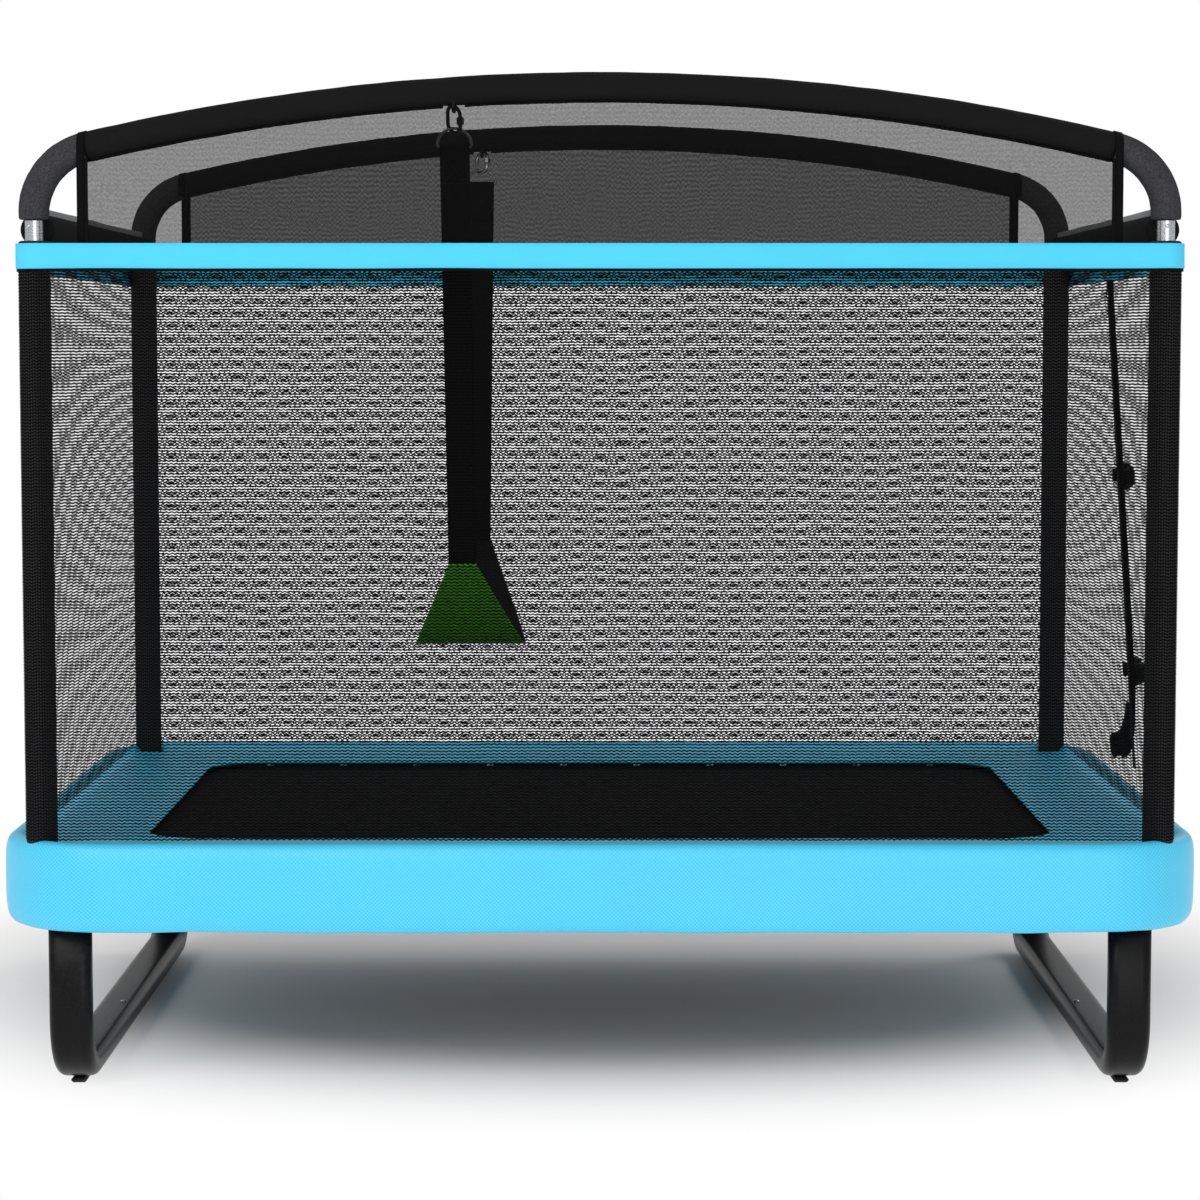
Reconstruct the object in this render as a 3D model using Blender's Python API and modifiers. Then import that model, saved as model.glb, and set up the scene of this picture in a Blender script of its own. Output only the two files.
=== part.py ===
"""A children's rectangular trampoline with a net enclosure, two arches and a swing.

The origin is on the floor under the middle of the mat. X runs from left to right along the
long side, Y from front to back and Z up. All sizes are in metres.
"""
import math

import bmesh
import bpy
from mathutils import Matrix, Vector

# ---- driving dimensions ----------------------------------------------------------------------

CLEARANCE = 0.0003            # between pieces that touch
TUBE_SIDES = 10               # facets round posts, arches, rails and their foam
FRAME_SIDES = 12              # facets round the frame ring
FRAME_CORNER_STEPS = 5
STEP_LENGTH = 0.0005          # length of the shoulder where a tube is swaged down

# frame ring, in two halves that plug together in the middle of the long sides
FRAME_HALF_LENGTH = 0.895     # centreline, left to right
FRAME_HALF_WIDTH = 0.622      # centreline, front to back
FRAME_CORNER_RADIUS = 0.14
FRAME_HEIGHT = 0.357
FRAME_TUBE_RADIUS = 0.019
FRAME_TUBE_WALL = 0.0015
FRAME_PLUG_LENGTH = 0.05

# sockets for the posts, welded just outside the ring's corners
POST_RADIUS = 0.014
POST_WALL = 0.0013
SOCKET_WALL = 0.0042
SOCKET_OFFSET = 0.0011        # from the ring's tube to the socket
SOCKET_FLOOR = 0.004
SOCKET_RISE = 0.028           # top of the socket above the ring's centreline
BORE_OVERRUN = 0.010          # how far a cutting tool runs past the surface it opens

# U legs of rounded rectangular tube, which plug onto stubs under the ring
LEG_TUBE_WIDTH = 0.068
LEG_TUBE_DEPTH = 0.040
LEG_TUBE_CORNER = 0.016
LEG_TUBE_WALL = 0.0015
LEG_BEND_RADIUS = 0.090
LEG_CORNER_STEPS = 2
LEG_BEND_STEPS = 5
LEG_INSET = 0.0425            # from the posts towards the middle
LEG_STUB_LENGTH = 0.040
FOOT_WIDTH = 0.025
FOOT_LENGTH = 0.050
FOOT_HEIGHT = 0.008
FOOT_BEVEL = 0.003
FOOT_FROM_POST = 0.088        # from the posts' line towards the middle
RAIL_SCREW_Y = -0.13
RAIL_SCREW_INSET = 0.012      # towards the middle from the leg's centre
RAIL_SCREW_HEAD_RADIUS = 0.0055
RAIL_SCREW_HEAD_HEIGHT = 0.002
RAIL_SCREW_SHANK_RADIUS = 0.002
RAIL_SCREW_LENGTH = 0.014

# posts and their foam
POST_TOP = 1.3775
POST_FOAM_RADIUS = 0.0245
POST_FOAM_DROP = 0.0325       # below the top of the posts, as the drops that follow
BUTTON_DROP = 0.0095
BUTTON_RADIUS = 0.003
BUTTON_PROUD = 0.0025
BUTTON_FLANGE_RADIUS = 0.0045
BUTTON_FLANGE_THICKNESS = 0.001
BUTTON_SIDES = 8
BUTTON_HOLE_OVERRUN = 0.006
BUTTON_TURN = {"front_left": -25.0}   # degrees round the post from straight out; others 0

# arches from post to post
ARCH_RISE = 0.2045            # from the top of the posts to the crest's centreline
ARCH_RADIUS = 3.5
ARCH_BEND_RADIUS = 0.105
ARCH_WALL = 0.0015
ARCH_PLUG_LENGTH = 0.075
ARCH_FOAM_RADIUS = 0.024
ARCH_CROWN_STEPS = 8
ARCH_BEND_STEPS = 4
ARCH_END_LEAD = 0.016         # short straight lead where a bend meets the crown
BEND_FOAM_LEAD = 0.006        # of the bend's foam along that lead, before the sleeve
BEND_FOAM_END = 0.001         # evenly round end of that foam

# padded rails along the sides, between front and back posts
SIDE_RAIL_DROP = 0.0145
SIDE_RAIL_RADIUS = 0.0125
SIDE_RAIL_FOAM_RADIUS = 0.0275
SIDE_RAIL_FOAM_GAP = 0.0005   # from the rail's foam to the posts' foam

# mat, hem and springs
SPRING_SPAN = 0.095           # from the ring's centreline to the edge of the mat
MAT_CORNER_RADIUS = 0.05
MAT_THICKNESS = 0.003
MAT_HEIGHT = 0.374
HEM_WIDTH = 0.012
HEM_THICKNESS = 0.004
SPRING_RADIUS = 0.006
SPRING_RISE = 0.0105          # outer end of a spring above the ring's centreline
SPRING_SIDES = 6
SPRING_SEAT = 0.0177          # from the ring's centreline to the end of a spring
SPRING_COUNT_FRONT = 10       # on the front and on the back
SPRING_COUNT_LEFT = 7         # on each end
SPRING_PITCH = 0.142
MAT_CORNER_STEPS = 4

# pad over the springs
PAD_OVERHANG = 0.0485         # from the net to the pad's outer edge
PAD_CORNER_RADIUS = 0.175
PAD_OVERLAP_LENGTH = 0.061    # over the mat at the ends
PAD_OVERLAP_WIDTH = 0.029     # over the mat at the front and back
PAD_INNER_CORNER_RADIUS = 0.10
PAD_RIM_TOP = 0.4057
PAD_TOP = 0.395
PAD_INNER_TOP = 0.390
PAD_UNDERSIDE = 0.3812
PAD_SKIRT_BOTTOM = 0.266
PAD_SKIRT_THICKNESS = 0.015
PAD_SKIRT_ROLL = 0.006        # rounding under the skirt's lower edge
PAD_SKIRT_TUCK = 0.004        # how far the lower edge is rolled inwards
PAD_SKIRT_UPRIGHT = (0.035, 0.025)      # upright face: above the foot, below the top
PAD_RIM_INSETS = (0.003, 0.011, 0.026, 0.038, 0.060)  # foot, crest, crest, foot, flat top
PAD_SEAT_MARGIN = 0.010       # beyond the ring, where the underside begins to slope
PAD_SLOPE_WIDTH = 0.040
PAD_INNER_SLOPE = 0.050       # width of the slope down to the inner edge
PAD_INNER_TUCK = (0.010, 0.006)         # under and over the inner edge
PAD_CORNER_STEPS = 6

# net walls and the band round their top
NET_THICKNESS = 0.0015
NET_DROP = 0.0387
NET_BAR = 0.012
NET_ROW_COUNT = 4
NET_COUNT_FRONT = 9           # gaps across the front and back walls
NET_COUNT_LEFT = 6            # gaps across the left wall
BAND_DROP = 0.0365
BAND_WIDTH = 0.039
BAND_THICKNESS = 0.0015

# nets under the arches, with the straps at their ends
UPPER_NET_ROW_COUNT = 2
UPPER_NET_COLUMN_COUNT = 9
UPPER_NET_DROP = 0.0092       # top edge of the net below the arch's centreline
STRAP_WIDTH = 0.0125
STRAP_THICKNESS = 0.002
STRAP_SINK = 0.001            # into the sleeve, where the strap is sewn to it

# door in the right wall: a seam that slants forward, its zip, cover and buckles
SEAM_TOP_Y = 0.125
SEAM_DROP = 0.0775
SEAM_SLOPE = 3.0 / 7.0                  # forward for each unit down
SEAM_GAP = 0.0006
DOOR_COUNT_FRONT = 3
DOOR_COUNT_BACK = 3
ZIP_BOTTOM = 0.470
ZIP_TAPE_WIDTH = 0.024
ZIP_TAPE_THICKNESS = 0.0012
ZIP_SLIDER_LENGTH = 0.014
ZIP_SLIDER_WIDTH = 0.010
ZIP_SLIDER_THICKNESS = 0.0045
ZIP_TAB_LENGTH = 0.030
ZIP_TAB_WIDTH = 0.006
ZIP_TAB_THICKNESS = 0.0015
COVER_WIDTH = 0.062
COVER_THICKNESS = 0.0016
COVER_STRAIGHT_BOTTOM = 0.600
COVER_BOOT = (                # outline of its foot, from the lower end of its front edge
    (0.002, -0.060), (0.035, -0.105), (0.092, -0.126), (0.165, -0.132), (0.215, -0.143),
    (0.248, -0.128), (0.252, -0.108), (0.200, -0.098), (0.130, -0.078), (0.082, -0.030),
    (0.073, 0.025))
BUCKLE_HEIGHTS = {"upper": 0.955, "lower": 0.626}
BUCKLE_THICKNESS = 0.018
FEMALE_HEIGHT = 0.046
FEMALE_LENGTH = 0.038
FEMALE_WALL_SIDE = 0.005
FEMALE_WALL_FACE = 0.004
FEMALE_CAVITY_DEPTH = 0.030
FEMALE_WINDOW_START = 0.010
FEMALE_WINDOW_LENGTH = 0.012
MALE_HEIGHT = 0.034
MALE_LENGTH = 0.030
MALE_PRONG_LENGTH = 0.024
MALE_PRONG_WIDTH = 0.006
MALE_PRONG_ROOT = 0.006       # how far the prongs run into the body
MALE_PRONG_INSET = 0.0005     # of the outer prongs from the body's edges
MALE_SLOT_LENGTH = 0.006
MALE_SLOT_MARGIN = 0.005
BUCKLE_BEVEL = 0.002

# swing
SWING_X = -0.227
EYE_DROP = 0.0291             # the eye's bar below the arch's centreline
EYE_WIRE_RADIUS = 0.003
EYE_HALF_WIDTH = 0.015
EYE_CORNER_RADIUS = 0.006
EYE_SLOT_HALF_LENGTH = 0.021  # slot in the sleeve, for the link to swing in
LINK_WIRE_RADIUS = 0.003
LINK_HALF_WIDTH = 0.0135
LINK_LENGTH = 0.042           # between the centres of the wire at the ends
LINK_TURN = math.radians(42)  # round its long axis, so that ring and eye pass through it
LINK_LOOSENESS = 0.0010       # extra room in the joint between link and eye
LINK_NUT_RADIUS = 0.0060
LINK_NUT_LENGTH = 0.011
WIRE_SIDES = 6                # facets round links, rings and eyes
LINK_ARC_STEPS = 6
RING_ARC_STEPS = 8
RING_WIRE_RADIUS = 0.0022
RING_HALF_WIDTH = 0.0285
RING_LENGTH = 0.029           # from the top of the bow to the bar, centres of the wire
RING_CORNER_RADIUS = 0.0025
RING_LOOSENESS = 0.0015       # extra room in the joint between ring and link
WEBBING_WIDTH = 0.0465
WEBBING_THICKNESS = 0.0018
SEAT_HALF_LENGTH = 0.341
SEAT_END_HEIGHT = 0.821
SEAT_LOW_HEIGHT = 0.661
SEAT_WIDTH = 0.192
SEAT_THICKNESS = 0.004
SEAT_ROUNDNESS = 0.25         # 0 gives a V, larger values a rounder sling
SEAT_LAP = 0.006              # seat beyond the line where the strap stands on it
SEAT_STEPS_ACROSS = 4
SEAT_STEPS_ALONG = 12

# ---- sizes that follow -----------------------------------------------------------------------

SOCKET_RADIUS = POST_RADIUS + CLEARANCE + SOCKET_WALL
post_reach = FRAME_CORNER_RADIUS + FRAME_TUBE_RADIUS + SOCKET_OFFSET + SOCKET_RADIUS
corner_step = post_reach / math.sqrt(2) - FRAME_CORNER_RADIUS
POST_X = FRAME_HALF_LENGTH + corner_step
POST_Y = FRAME_HALF_WIDTH + corner_step
LEG_X = POST_X - LEG_INSET
LEG_TOP = FRAME_HEIGHT - FRAME_TUBE_RADIUS - CLEARANCE
LEG_RAIL_HEIGHT = FOOT_HEIGHT + CLEARANCE + LEG_TUBE_DEPTH / 2
SOCKET_BOTTOM = LEG_TOP + CLEARANCE
SOCKET_TOP = FRAME_HEIGHT + SOCKET_RISE

POST_FOAM_TOP = POST_TOP - POST_FOAM_DROP
BUTTON_HEIGHT = POST_TOP - BUTTON_DROP
ARCH_CREST = POST_TOP + ARCH_RISE
SIDE_RAIL_HEIGHT = POST_TOP - SIDE_RAIL_DROP
NET_TOP = POST_TOP - NET_DROP
BAND_TOP = POST_TOP - BAND_DROP
BAND_BOTTOM = BAND_TOP - BAND_WIDTH
SEAM_TOP = Vector((SEAM_TOP_Y, POST_TOP - SEAM_DROP))      # y, z

NET_OFFSET = POST_FOAM_RADIUS + CLEARANCE + NET_THICKNESS / 2     # from a post's axis
NET_X = POST_X + NET_OFFSET
NET_Y = POST_Y + NET_OFFSET
NET_BOTTOM = PAD_RIM_TOP + CLEARANCE
NET_FACE_X = NET_X + NET_THICKNESS / 2
BAND_X = NET_FACE_X + CLEARANCE
BAND_Y = NET_Y + NET_THICKNESS / 2 + CLEARANCE
BAND_INNER_CORNER = NET_OFFSET + NET_THICKNESS / 2 + CLEARANCE

PAD_X = NET_X + PAD_OVERHANG
PAD_Y = NET_Y + PAD_OVERHANG
MAT_X = FRAME_HALF_LENGTH - SPRING_SPAN
MAT_Y = FRAME_HALF_WIDTH - SPRING_SPAN
PAD_INNER_X = MAT_X - PAD_OVERLAP_LENGTH
PAD_INNER_Y = MAT_Y - PAD_OVERLAP_WIDTH

plug_bore = (POST_RADIUS - POST_WALL - CLEARANCE - ARCH_WALL) * math.cos(math.pi / TUBE_SIDES)
flange_face = math.sqrt(plug_bore ** 2 - BUTTON_FLANGE_RADIUS ** 2) - CLEARANCE
BUTTON_INNER = flange_face - BUTTON_FLANGE_THICKNESS    # inner end, from the post's axis

SIDES = {"left": -1, "right": 1}
ENDS = {"front": -1, "back": 1}
CORNERS = {f"{end}_{side}": (sx, sy) for end, sy in ENDS.items() for side, sx in SIDES.items()}

# ---- modelling helpers -----------------------------------------------------------------------

for old in list(bpy.data.objects):
    bpy.data.objects.remove(old, do_unlink=True)

parts = bpy.data.collections.new("trampoline")
cutters = bpy.data.collections.new("cutters")
for collection in (parts, cutters):
    bpy.context.scene.collection.children.link(collection)


def material(name, color, roughness, metallic=0.0):
    """A Principled material; the colour is linear RGB."""
    made = bpy.data.materials.new(name)
    made.use_nodes = True
    shader = made.node_tree.nodes["Principled BSDF"]
    shader.inputs["Base Color"].default_value = (*color, 1.0)
    shader.inputs["Roughness"].default_value = roughness
    shader.inputs["Metallic"].default_value = metallic
    return made


BLACK_STEEL = material("black_powder_coat", (0.012, 0.012, 0.013), 0.4, 0.2)
BRIGHT_STEEL = material("galvanised_steel", (0.55, 0.56, 0.58), 0.28, 1.0)
GREY_FOAM = material("grey_foam", (0.045, 0.045, 0.047), 0.95)
BLACK_FABRIC = material("black_woven_fabric", (0.011, 0.011, 0.012), 0.85)
BLACK_NET = material("black_knit_net", (0.02, 0.02, 0.021), 0.8)
CYAN_VINYL = material("cyan_pad_cover", (0.105, 0.70, 1.0), 0.45)
CYAN_BAND = material("cyan_band", (0.107, 0.73, 1.0), 0.6)
MAT_WEAVE = material("black_mat_weave", (0.009, 0.009, 0.01), 0.7)
BLACK_PLASTIC = material("black_plastic", (0.013, 0.013, 0.014), 0.45)
BLACK_WEBBING = material("black_webbing", (0.008, 0.008, 0.009), 0.8)
GREEN_SEAT = material("green_seat_fabric", (0.035, 0.14, 0.012), 0.7)


def add(name, mesh, finish=None):
    """Put a mesh into the model, or among the cutters when it has no finish."""
    made = bpy.data.objects.new(name, mesh)
    if finish is None:
        cutters.objects.link(made)
        made.hide_render = True
        made.display_type = "WIRE"
    else:
        parts.objects.link(made)
        mesh.materials.clear()
        mesh.materials.append(finish)
    return made


def mesh_of(curve_object):
    """The welded mesh of a curve object, which is removed."""
    bpy.context.view_layer.update()
    evaluated = curve_object.evaluated_get(bpy.context.evaluated_depsgraph_get())
    mesh = bpy.data.meshes.new_from_object(evaluated)
    mesh.transform(curve_object.matrix_world)
    bpy.data.objects.remove(curve_object, do_unlink=True)
    work = bmesh.new()
    work.from_mesh(mesh)
    bmesh.ops.remove_doubles(work, verts=work.verts, dist=1e-6)
    work.to_mesh(mesh)
    work.free()
    return mesh


def poly_curve(outlines, cyclic, radii=None):
    """A curve of straight splines, not yet in any collection of parts."""
    data = bpy.data.curves.new("guide", "CURVE")
    data.dimensions = "3D"
    for outline in outlines:
        spline = data.splines.new("POLY")
        spline.points.add(len(outline) - 1)
        spline.use_cyclic_u = cyclic
        for index, (point, place) in enumerate(zip(spline.points, outline)):
            point.co = (*place, 1.0)
            point.radius = radii[index] if radii else 1.0
    made = bpy.data.objects.new("guide", data)
    cutters.objects.link(made)
    return made


def tube(name, path, radius, finish=None, wall=None, radii=None, cyclic=False, sides=TUBE_SIDES,
         turn=0.0):
    """A round bar along a path, or a tube open at its ends when a wall is given.

    turn rotates its facets round the path, to match those of a tube it fits over.
    """
    shares = [value / radius for value in radii] if radii else None
    guide = poly_curve([path], cyclic, shares)
    guide.data.bevel_depth = radius
    guide.data.bevel_resolution = sides // 2 - 2
    guide.data.use_fill_caps = wall is None and not cyclic
    for point in guide.data.splines[0].points:
        point.tilt = turn
    made = add(name, mesh_of(guide), finish)
    if wall is not None:
        shell = made.modifiers.new("wall", "SOLIDIFY")
        shell.thickness = wall
        shell.offset = -1
    smooth(made)
    return made


def plate(name, outlines, thickness, finish=None, matrix=Matrix.Identity(4)):
    """A flat piece from closed outlines in its own XY plane; inner outlines are holes."""
    flat = [[(x, y, 0.0) for x, y in outline] for outline in outlines]
    guide = poly_curve(flat, True)
    guide.data.dimensions = "2D"
    guide.data.fill_mode = "BOTH"
    guide.data.extrude = thickness / 2
    guide.matrix_world = matrix
    made = add(name, mesh_of(guide), finish)
    return made


def bar(name, start, end, radius, finish=None, sides=TUBE_SIDES):
    """A straight round bar between two points."""
    return tube(name, [start, end], radius, finish, sides=sides)


def box(name, low, high, finish=None, bevel=0.0, turn=None):
    """A box between two corners, with bevelled edges and turned by a matrix when given."""
    work = bmesh.new()
    bmesh.ops.create_cube(work, size=1.0)
    size = Vector(high) - Vector(low)
    middle = (Vector(high) + Vector(low)) / 2
    bmesh.ops.scale(work, vec=size, verts=work.verts)
    bmesh.ops.translate(work, vec=middle, verts=work.verts)
    if turn is not None:
        bmesh.ops.transform(work, matrix=turn, verts=work.verts)
    mesh = bpy.data.meshes.new(name)
    work.to_mesh(mesh)
    work.free()
    made = add(name, mesh, finish)
    if bevel:
        edges = made.modifiers.new("edges", "BEVEL")
        edges.width = bevel
        edges.segments = 1
        edges.limit_method = "ANGLE"
    return made


def smooth(made, angle=40):
    made.data.shade_smooth()
    made.data.set_sharp_from_angle(angle=math.radians(angle))


def boolean(made, other, operation):
    change = made.modifiers.new(operation.lower(), "BOOLEAN")
    change.operation = operation
    change.solver = "EXACT"
    change.object = other


def cut(made, *others):
    for other in others:
        boolean(made, other, "DIFFERENCE")


def join(made, *others):
    for other in others:
        boolean(made, other, "UNION")


def put_origin(made, point):
    """Move a piece's origin to a point, such as the axis it turns about."""
    made.data.transform(Matrix.Translation(-Vector(point)))
    made.location = point


def arc(middle, radius, start, end, steps):
    """Points (a, b) on an arc from one angle to the other, in degrees, ends included."""
    points = []
    for step in range(steps + 1):
        angle = math.radians(start + (end - start) * step / steps)
        points.append((middle[0] + radius * math.cos(angle), middle[1] + radius * math.sin(angle)))
    return points


def rounded_rectangle(half_x, half_y, radius, steps):
    """A closed outline, counter-clockwise from the right side's lower end."""
    outline = []
    for start, (sx, sy) in zip((-90, 0, 90, 180), ((1, -1), (1, 1), (-1, 1), (-1, -1))):
        middle = (sx * (half_x - radius), sy * (half_y - radius))
        outline += arc(middle, radius, start, start + 90, steps)
    return outline


def post_corner(middle, radius, start):
    """A quarter round a post from an angle in degrees, with the facets of the post's foam."""
    facet = 360 / TUBE_SIDES
    between = [facet * step for step in range(-TUBE_SIDES, 2 * TUBE_SIDES)
               if 1e-6 < facet * step - start < 90 - 1e-6]
    points = []
    for angle in [start] + between + [start + 90]:
        points += arc(middle, radius, angle, angle, 1)[:1]
    return points


def wall_outline(half_x, half_y, radius):
    """Outline round the four corner posts, counter-clockwise."""
    outline = []
    for start, (sx, sy) in zip((-90, 0, 90, 180), ((1, -1), (1, 1), (-1, 1), (-1, -1))):
        middle = (sx * (half_x - radius), sy * (half_y - radius))
        outline += post_corner(middle, radius, start)
    return outline


def lattice(width, bar_width, count):
    """Edges of the bars and gaps along an even net, from 0 to its width."""
    gap = (width - (count + 1) * bar_width) / count
    edges = []
    for index in range(count + 1):
        edges += [index * (bar_width + gap), index * (bar_width + gap) + bar_width]
    return edges


def net(name, columns, rows, place, gap_count, first_gap=1):
    """A sheet of net: bars at the even intervals of columns and rows, gaps at the odd ones.

    place(column, row) gives a point of the sheet. Columns before first_gap are plain.
    """
    work = bmesh.new()
    bmesh.ops.create_grid(work, x_segments=len(columns) - 1, y_segments=len(rows) - 1, size=1.0)
    last_gap = first_gap + 2 * gap_count
    spots = {}
    for vertex in work.verts:
        column = round((vertex.co.x + 1) / 2 * (len(columns) - 1))
        row = round((vertex.co.y + 1) / 2 * (len(rows) - 1))
        spots[vertex] = (column, row)
    gaps = []
    for face in work.faces:
        column = min(spots[vertex][0] for vertex in face.verts)
        row = min(spots[vertex][1] for vertex in face.verts)
        open_column = first_gap <= column < last_gap and (column - first_gap) % 2 == 0
        if open_column and row % 2 == 1:
            gaps.append(face)
    bmesh.ops.delete(work, geom=gaps, context="FACES")
    for vertex in work.verts:
        column, row = spots[vertex]
        vertex.co = place(columns[column], rows[row])
    mesh = bpy.data.meshes.new(name)
    work.to_mesh(mesh)
    work.free()
    made = add(name, mesh, BLACK_NET)
    sheet = made.modifiers.new("thickness", "SOLIDIFY")
    sheet.thickness = NET_THICKNESS
    sheet.offset = 0
    return made


# ---- frame ring ------------------------------------------------------------------------------

def frame_half_path(sx):
    """Centreline of the left or right half, from its front end to its back end."""
    middle_x = FRAME_HALF_LENGTH - FRAME_CORNER_RADIUS
    middle_y = FRAME_HALF_WIDTH - FRAME_CORNER_RADIUS
    front = arc((middle_x, -middle_y), FRAME_CORNER_RADIUS, -90, 0, FRAME_CORNER_STEPS)
    back = arc((middle_x, middle_y), FRAME_CORNER_RADIUS, 0, 90, FRAME_CORNER_STEPS)
    return [(sx * x, y, FRAME_HEIGHT) for x, y in front + back]


def leg_outline(inset):
    """Section of the legs' tube, drawn in by an inset."""
    return rounded_rectangle(LEG_TUBE_WIDTH / 2 - inset, LEG_TUBE_DEPTH / 2 - inset,
                             LEG_TUBE_CORNER - inset, LEG_CORNER_STEPS)


def frame_half(side, sx):
    """Half of the ring with its two post sockets and its two stubs for the leg."""
    plug_radius = FRAME_TUBE_RADIUS - FRAME_TUBE_WALL - CLEARANCE
    path = frame_half_path(sx)
    radii = [FRAME_TUBE_RADIUS] * len(path)
    joint = -CLEARANCE if side == "left" else 0.0
    if side == "left":
        shoulder = joint + STEP_LENGTH
        ends = [(FRAME_PLUG_LENGTH, plug_radius), (shoulder, plug_radius), (joint, FRAME_TUBE_RADIUS)]
    else:
        ends = [(joint + STEP_LENGTH + CLEARANCE, FRAME_TUBE_RADIUS)]
    front = [(x, -FRAME_HALF_WIDTH, FRAME_HEIGHT) for x, _ in ends]
    back = [(x, FRAME_HALF_WIDTH, FRAME_HEIGHT) for x, _ in reversed(ends)]
    path = front + path + back
    radii = [r for _, r in ends] + radii + [r for _, r in reversed(ends)]
    half = tube(f"frame_half_{side}", path, FRAME_TUBE_RADIUS, BLACK_STEEL,
                wall=FRAME_TUBE_WALL, radii=radii, sides=FRAME_SIDES)
    for end, sy in ENDS.items():
        x, y = sx * POST_X, sy * POST_Y
        stub_height = FRAME_HEIGHT - LEG_TOP + LEG_STUB_LENGTH
        stub_place = Matrix.Translation((sx * LEG_X, y, FRAME_HEIGHT - stub_height / 2))
        stub = plate(f"stub_{end}_{side}", [leg_outline(LEG_TUBE_WALL + CLEARANCE)],
                     stub_height, matrix=stub_place)
        socket = bar(f"socket_{end}_{side}", (x, y, SOCKET_BOTTOM), (x, y, SOCKET_TOP),
                     SOCKET_RADIUS)
        bore = bar(f"socket_bore_{end}_{side}", (x, y, SOCKET_BOTTOM + SOCKET_FLOOR),
                   (x, y, SOCKET_TOP + BORE_OVERRUN), POST_RADIUS + CLEARANCE)
        join(half, stub, socket)
        cut(half, bore)
    return half


for side, sx in SIDES.items():
    frame_half(side, sx)

# ---- legs and feet ---------------------------------------------------------------------------

def leg_path(sx, top):
    """U shape in a plane of constant X, from the front top to the back top."""
    middle_y = POST_Y - LEG_BEND_RADIUS
    middle_z = LEG_RAIL_HEIGHT + LEG_BEND_RADIUS
    front = arc((-middle_y, middle_z), LEG_BEND_RADIUS, 180, 270, LEG_BEND_STEPS)
    back = arc((middle_y, middle_z), LEG_BEND_RADIUS, 270, 360, LEG_BEND_STEPS)
    points = [(-POST_Y, top)] + front + back + [(POST_Y, top)]
    return [(sx * LEG_X, y, z) for y, z in points]


def leg_sweep(name, sx, inset, top, finish=None):
    """The legs' section swept along the U."""
    profile = poly_curve([[(x, y, 0.0) for x, y in leg_outline(inset)]], True)
    profile.data.dimensions = "2D"
    guide = poly_curve([leg_path(sx, top)], False)
    guide.data.bevel_mode = "OBJECT"
    guide.data.bevel_object = profile
    guide.data.use_fill_caps = True
    mesh = mesh_of(guide)
    bpy.data.objects.remove(profile, do_unlink=True)
    work = bmesh.new()
    work.from_mesh(mesh)
    bmesh.ops.recalc_face_normals(work, faces=work.faces)
    work.to_mesh(mesh)
    work.free()
    made = add(name, mesh, finish)
    smooth(made)
    return made


for side, sx in SIDES.items():
    leg = leg_sweep(f"leg_{side}", sx, 0.0, LEG_TOP, BLACK_STEEL)
    inside = leg_sweep(f"leg_bore_{side}", sx, LEG_TUBE_WALL, LEG_TOP + BORE_OVERRUN)
    cut(leg, inside)
    screw_x = sx * (LEG_X - RAIL_SCREW_INSET)
    rail_top = LEG_RAIL_HEIGHT + LEG_TUBE_DEPTH / 2
    hole = bar(f"rail_screw_hole_{side}", (screw_x, RAIL_SCREW_Y, rail_top - BORE_OVERRUN),
               (screw_x, RAIL_SCREW_Y, rail_top + BORE_OVERRUN), RAIL_SCREW_SHANK_RADIUS + CLEARANCE,
               sides=8)
    cut(leg, hole)
    head = bar(f"rail_screw_{side}", (screw_x, RAIL_SCREW_Y, rail_top + CLEARANCE),
               (screw_x, RAIL_SCREW_Y, rail_top + CLEARANCE + RAIL_SCREW_HEAD_HEIGHT),
               RAIL_SCREW_HEAD_RADIUS, BRIGHT_STEEL)
    shank = bar(f"rail_screw_shank_{side}",
                (screw_x, RAIL_SCREW_Y, rail_top + RAIL_SCREW_HEAD_HEIGHT - RAIL_SCREW_LENGTH),
                (screw_x, RAIL_SCREW_Y, rail_top + RAIL_SCREW_HEAD_HEIGHT / 2),
                RAIL_SCREW_SHANK_RADIUS, sides=8)
    join(head, shank)
    for end, sy in ENDS.items():
        middle_y = sy * (POST_Y - FOOT_FROM_POST)
        box(f"foot_{end}_{side}",
            (sx * LEG_X - FOOT_WIDTH / 2, middle_y - FOOT_LENGTH / 2, 0.0),
            (sx * LEG_X + FOOT_WIDTH / 2, middle_y + FOOT_LENGTH / 2, FOOT_HEIGHT),
            BLACK_PLASTIC, bevel=FOOT_BEVEL)

# ---- mat, hem and springs --------------------------------------------------------------------

mat_outline = rounded_rectangle(MAT_X, MAT_Y, MAT_CORNER_RADIUS, MAT_CORNER_STEPS)
mat = plate("mat", [mat_outline], MAT_THICKNESS, MAT_WEAVE,
            Matrix.Translation((0, 0, MAT_HEIGHT)))
put_origin(mat, (0, 0, MAT_HEIGHT))


def spring_ends(length, count, edge, ring):
    """Both ends of each spring of one side: place along it, then distance from the middle."""
    along = [(index - (count - 1) / 2) * SPRING_PITCH for index in range(count)]
    limit = length - MAT_CORNER_RADIUS - SPRING_RADIUS
    share = min(1.0, limit / along[-1])
    inner = edge + HEM_WIDTH - SPRING_RADIUS / 2
    outer = ring - SPRING_SEAT
    return [(place * share, inner, outer) for place in along]


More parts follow.
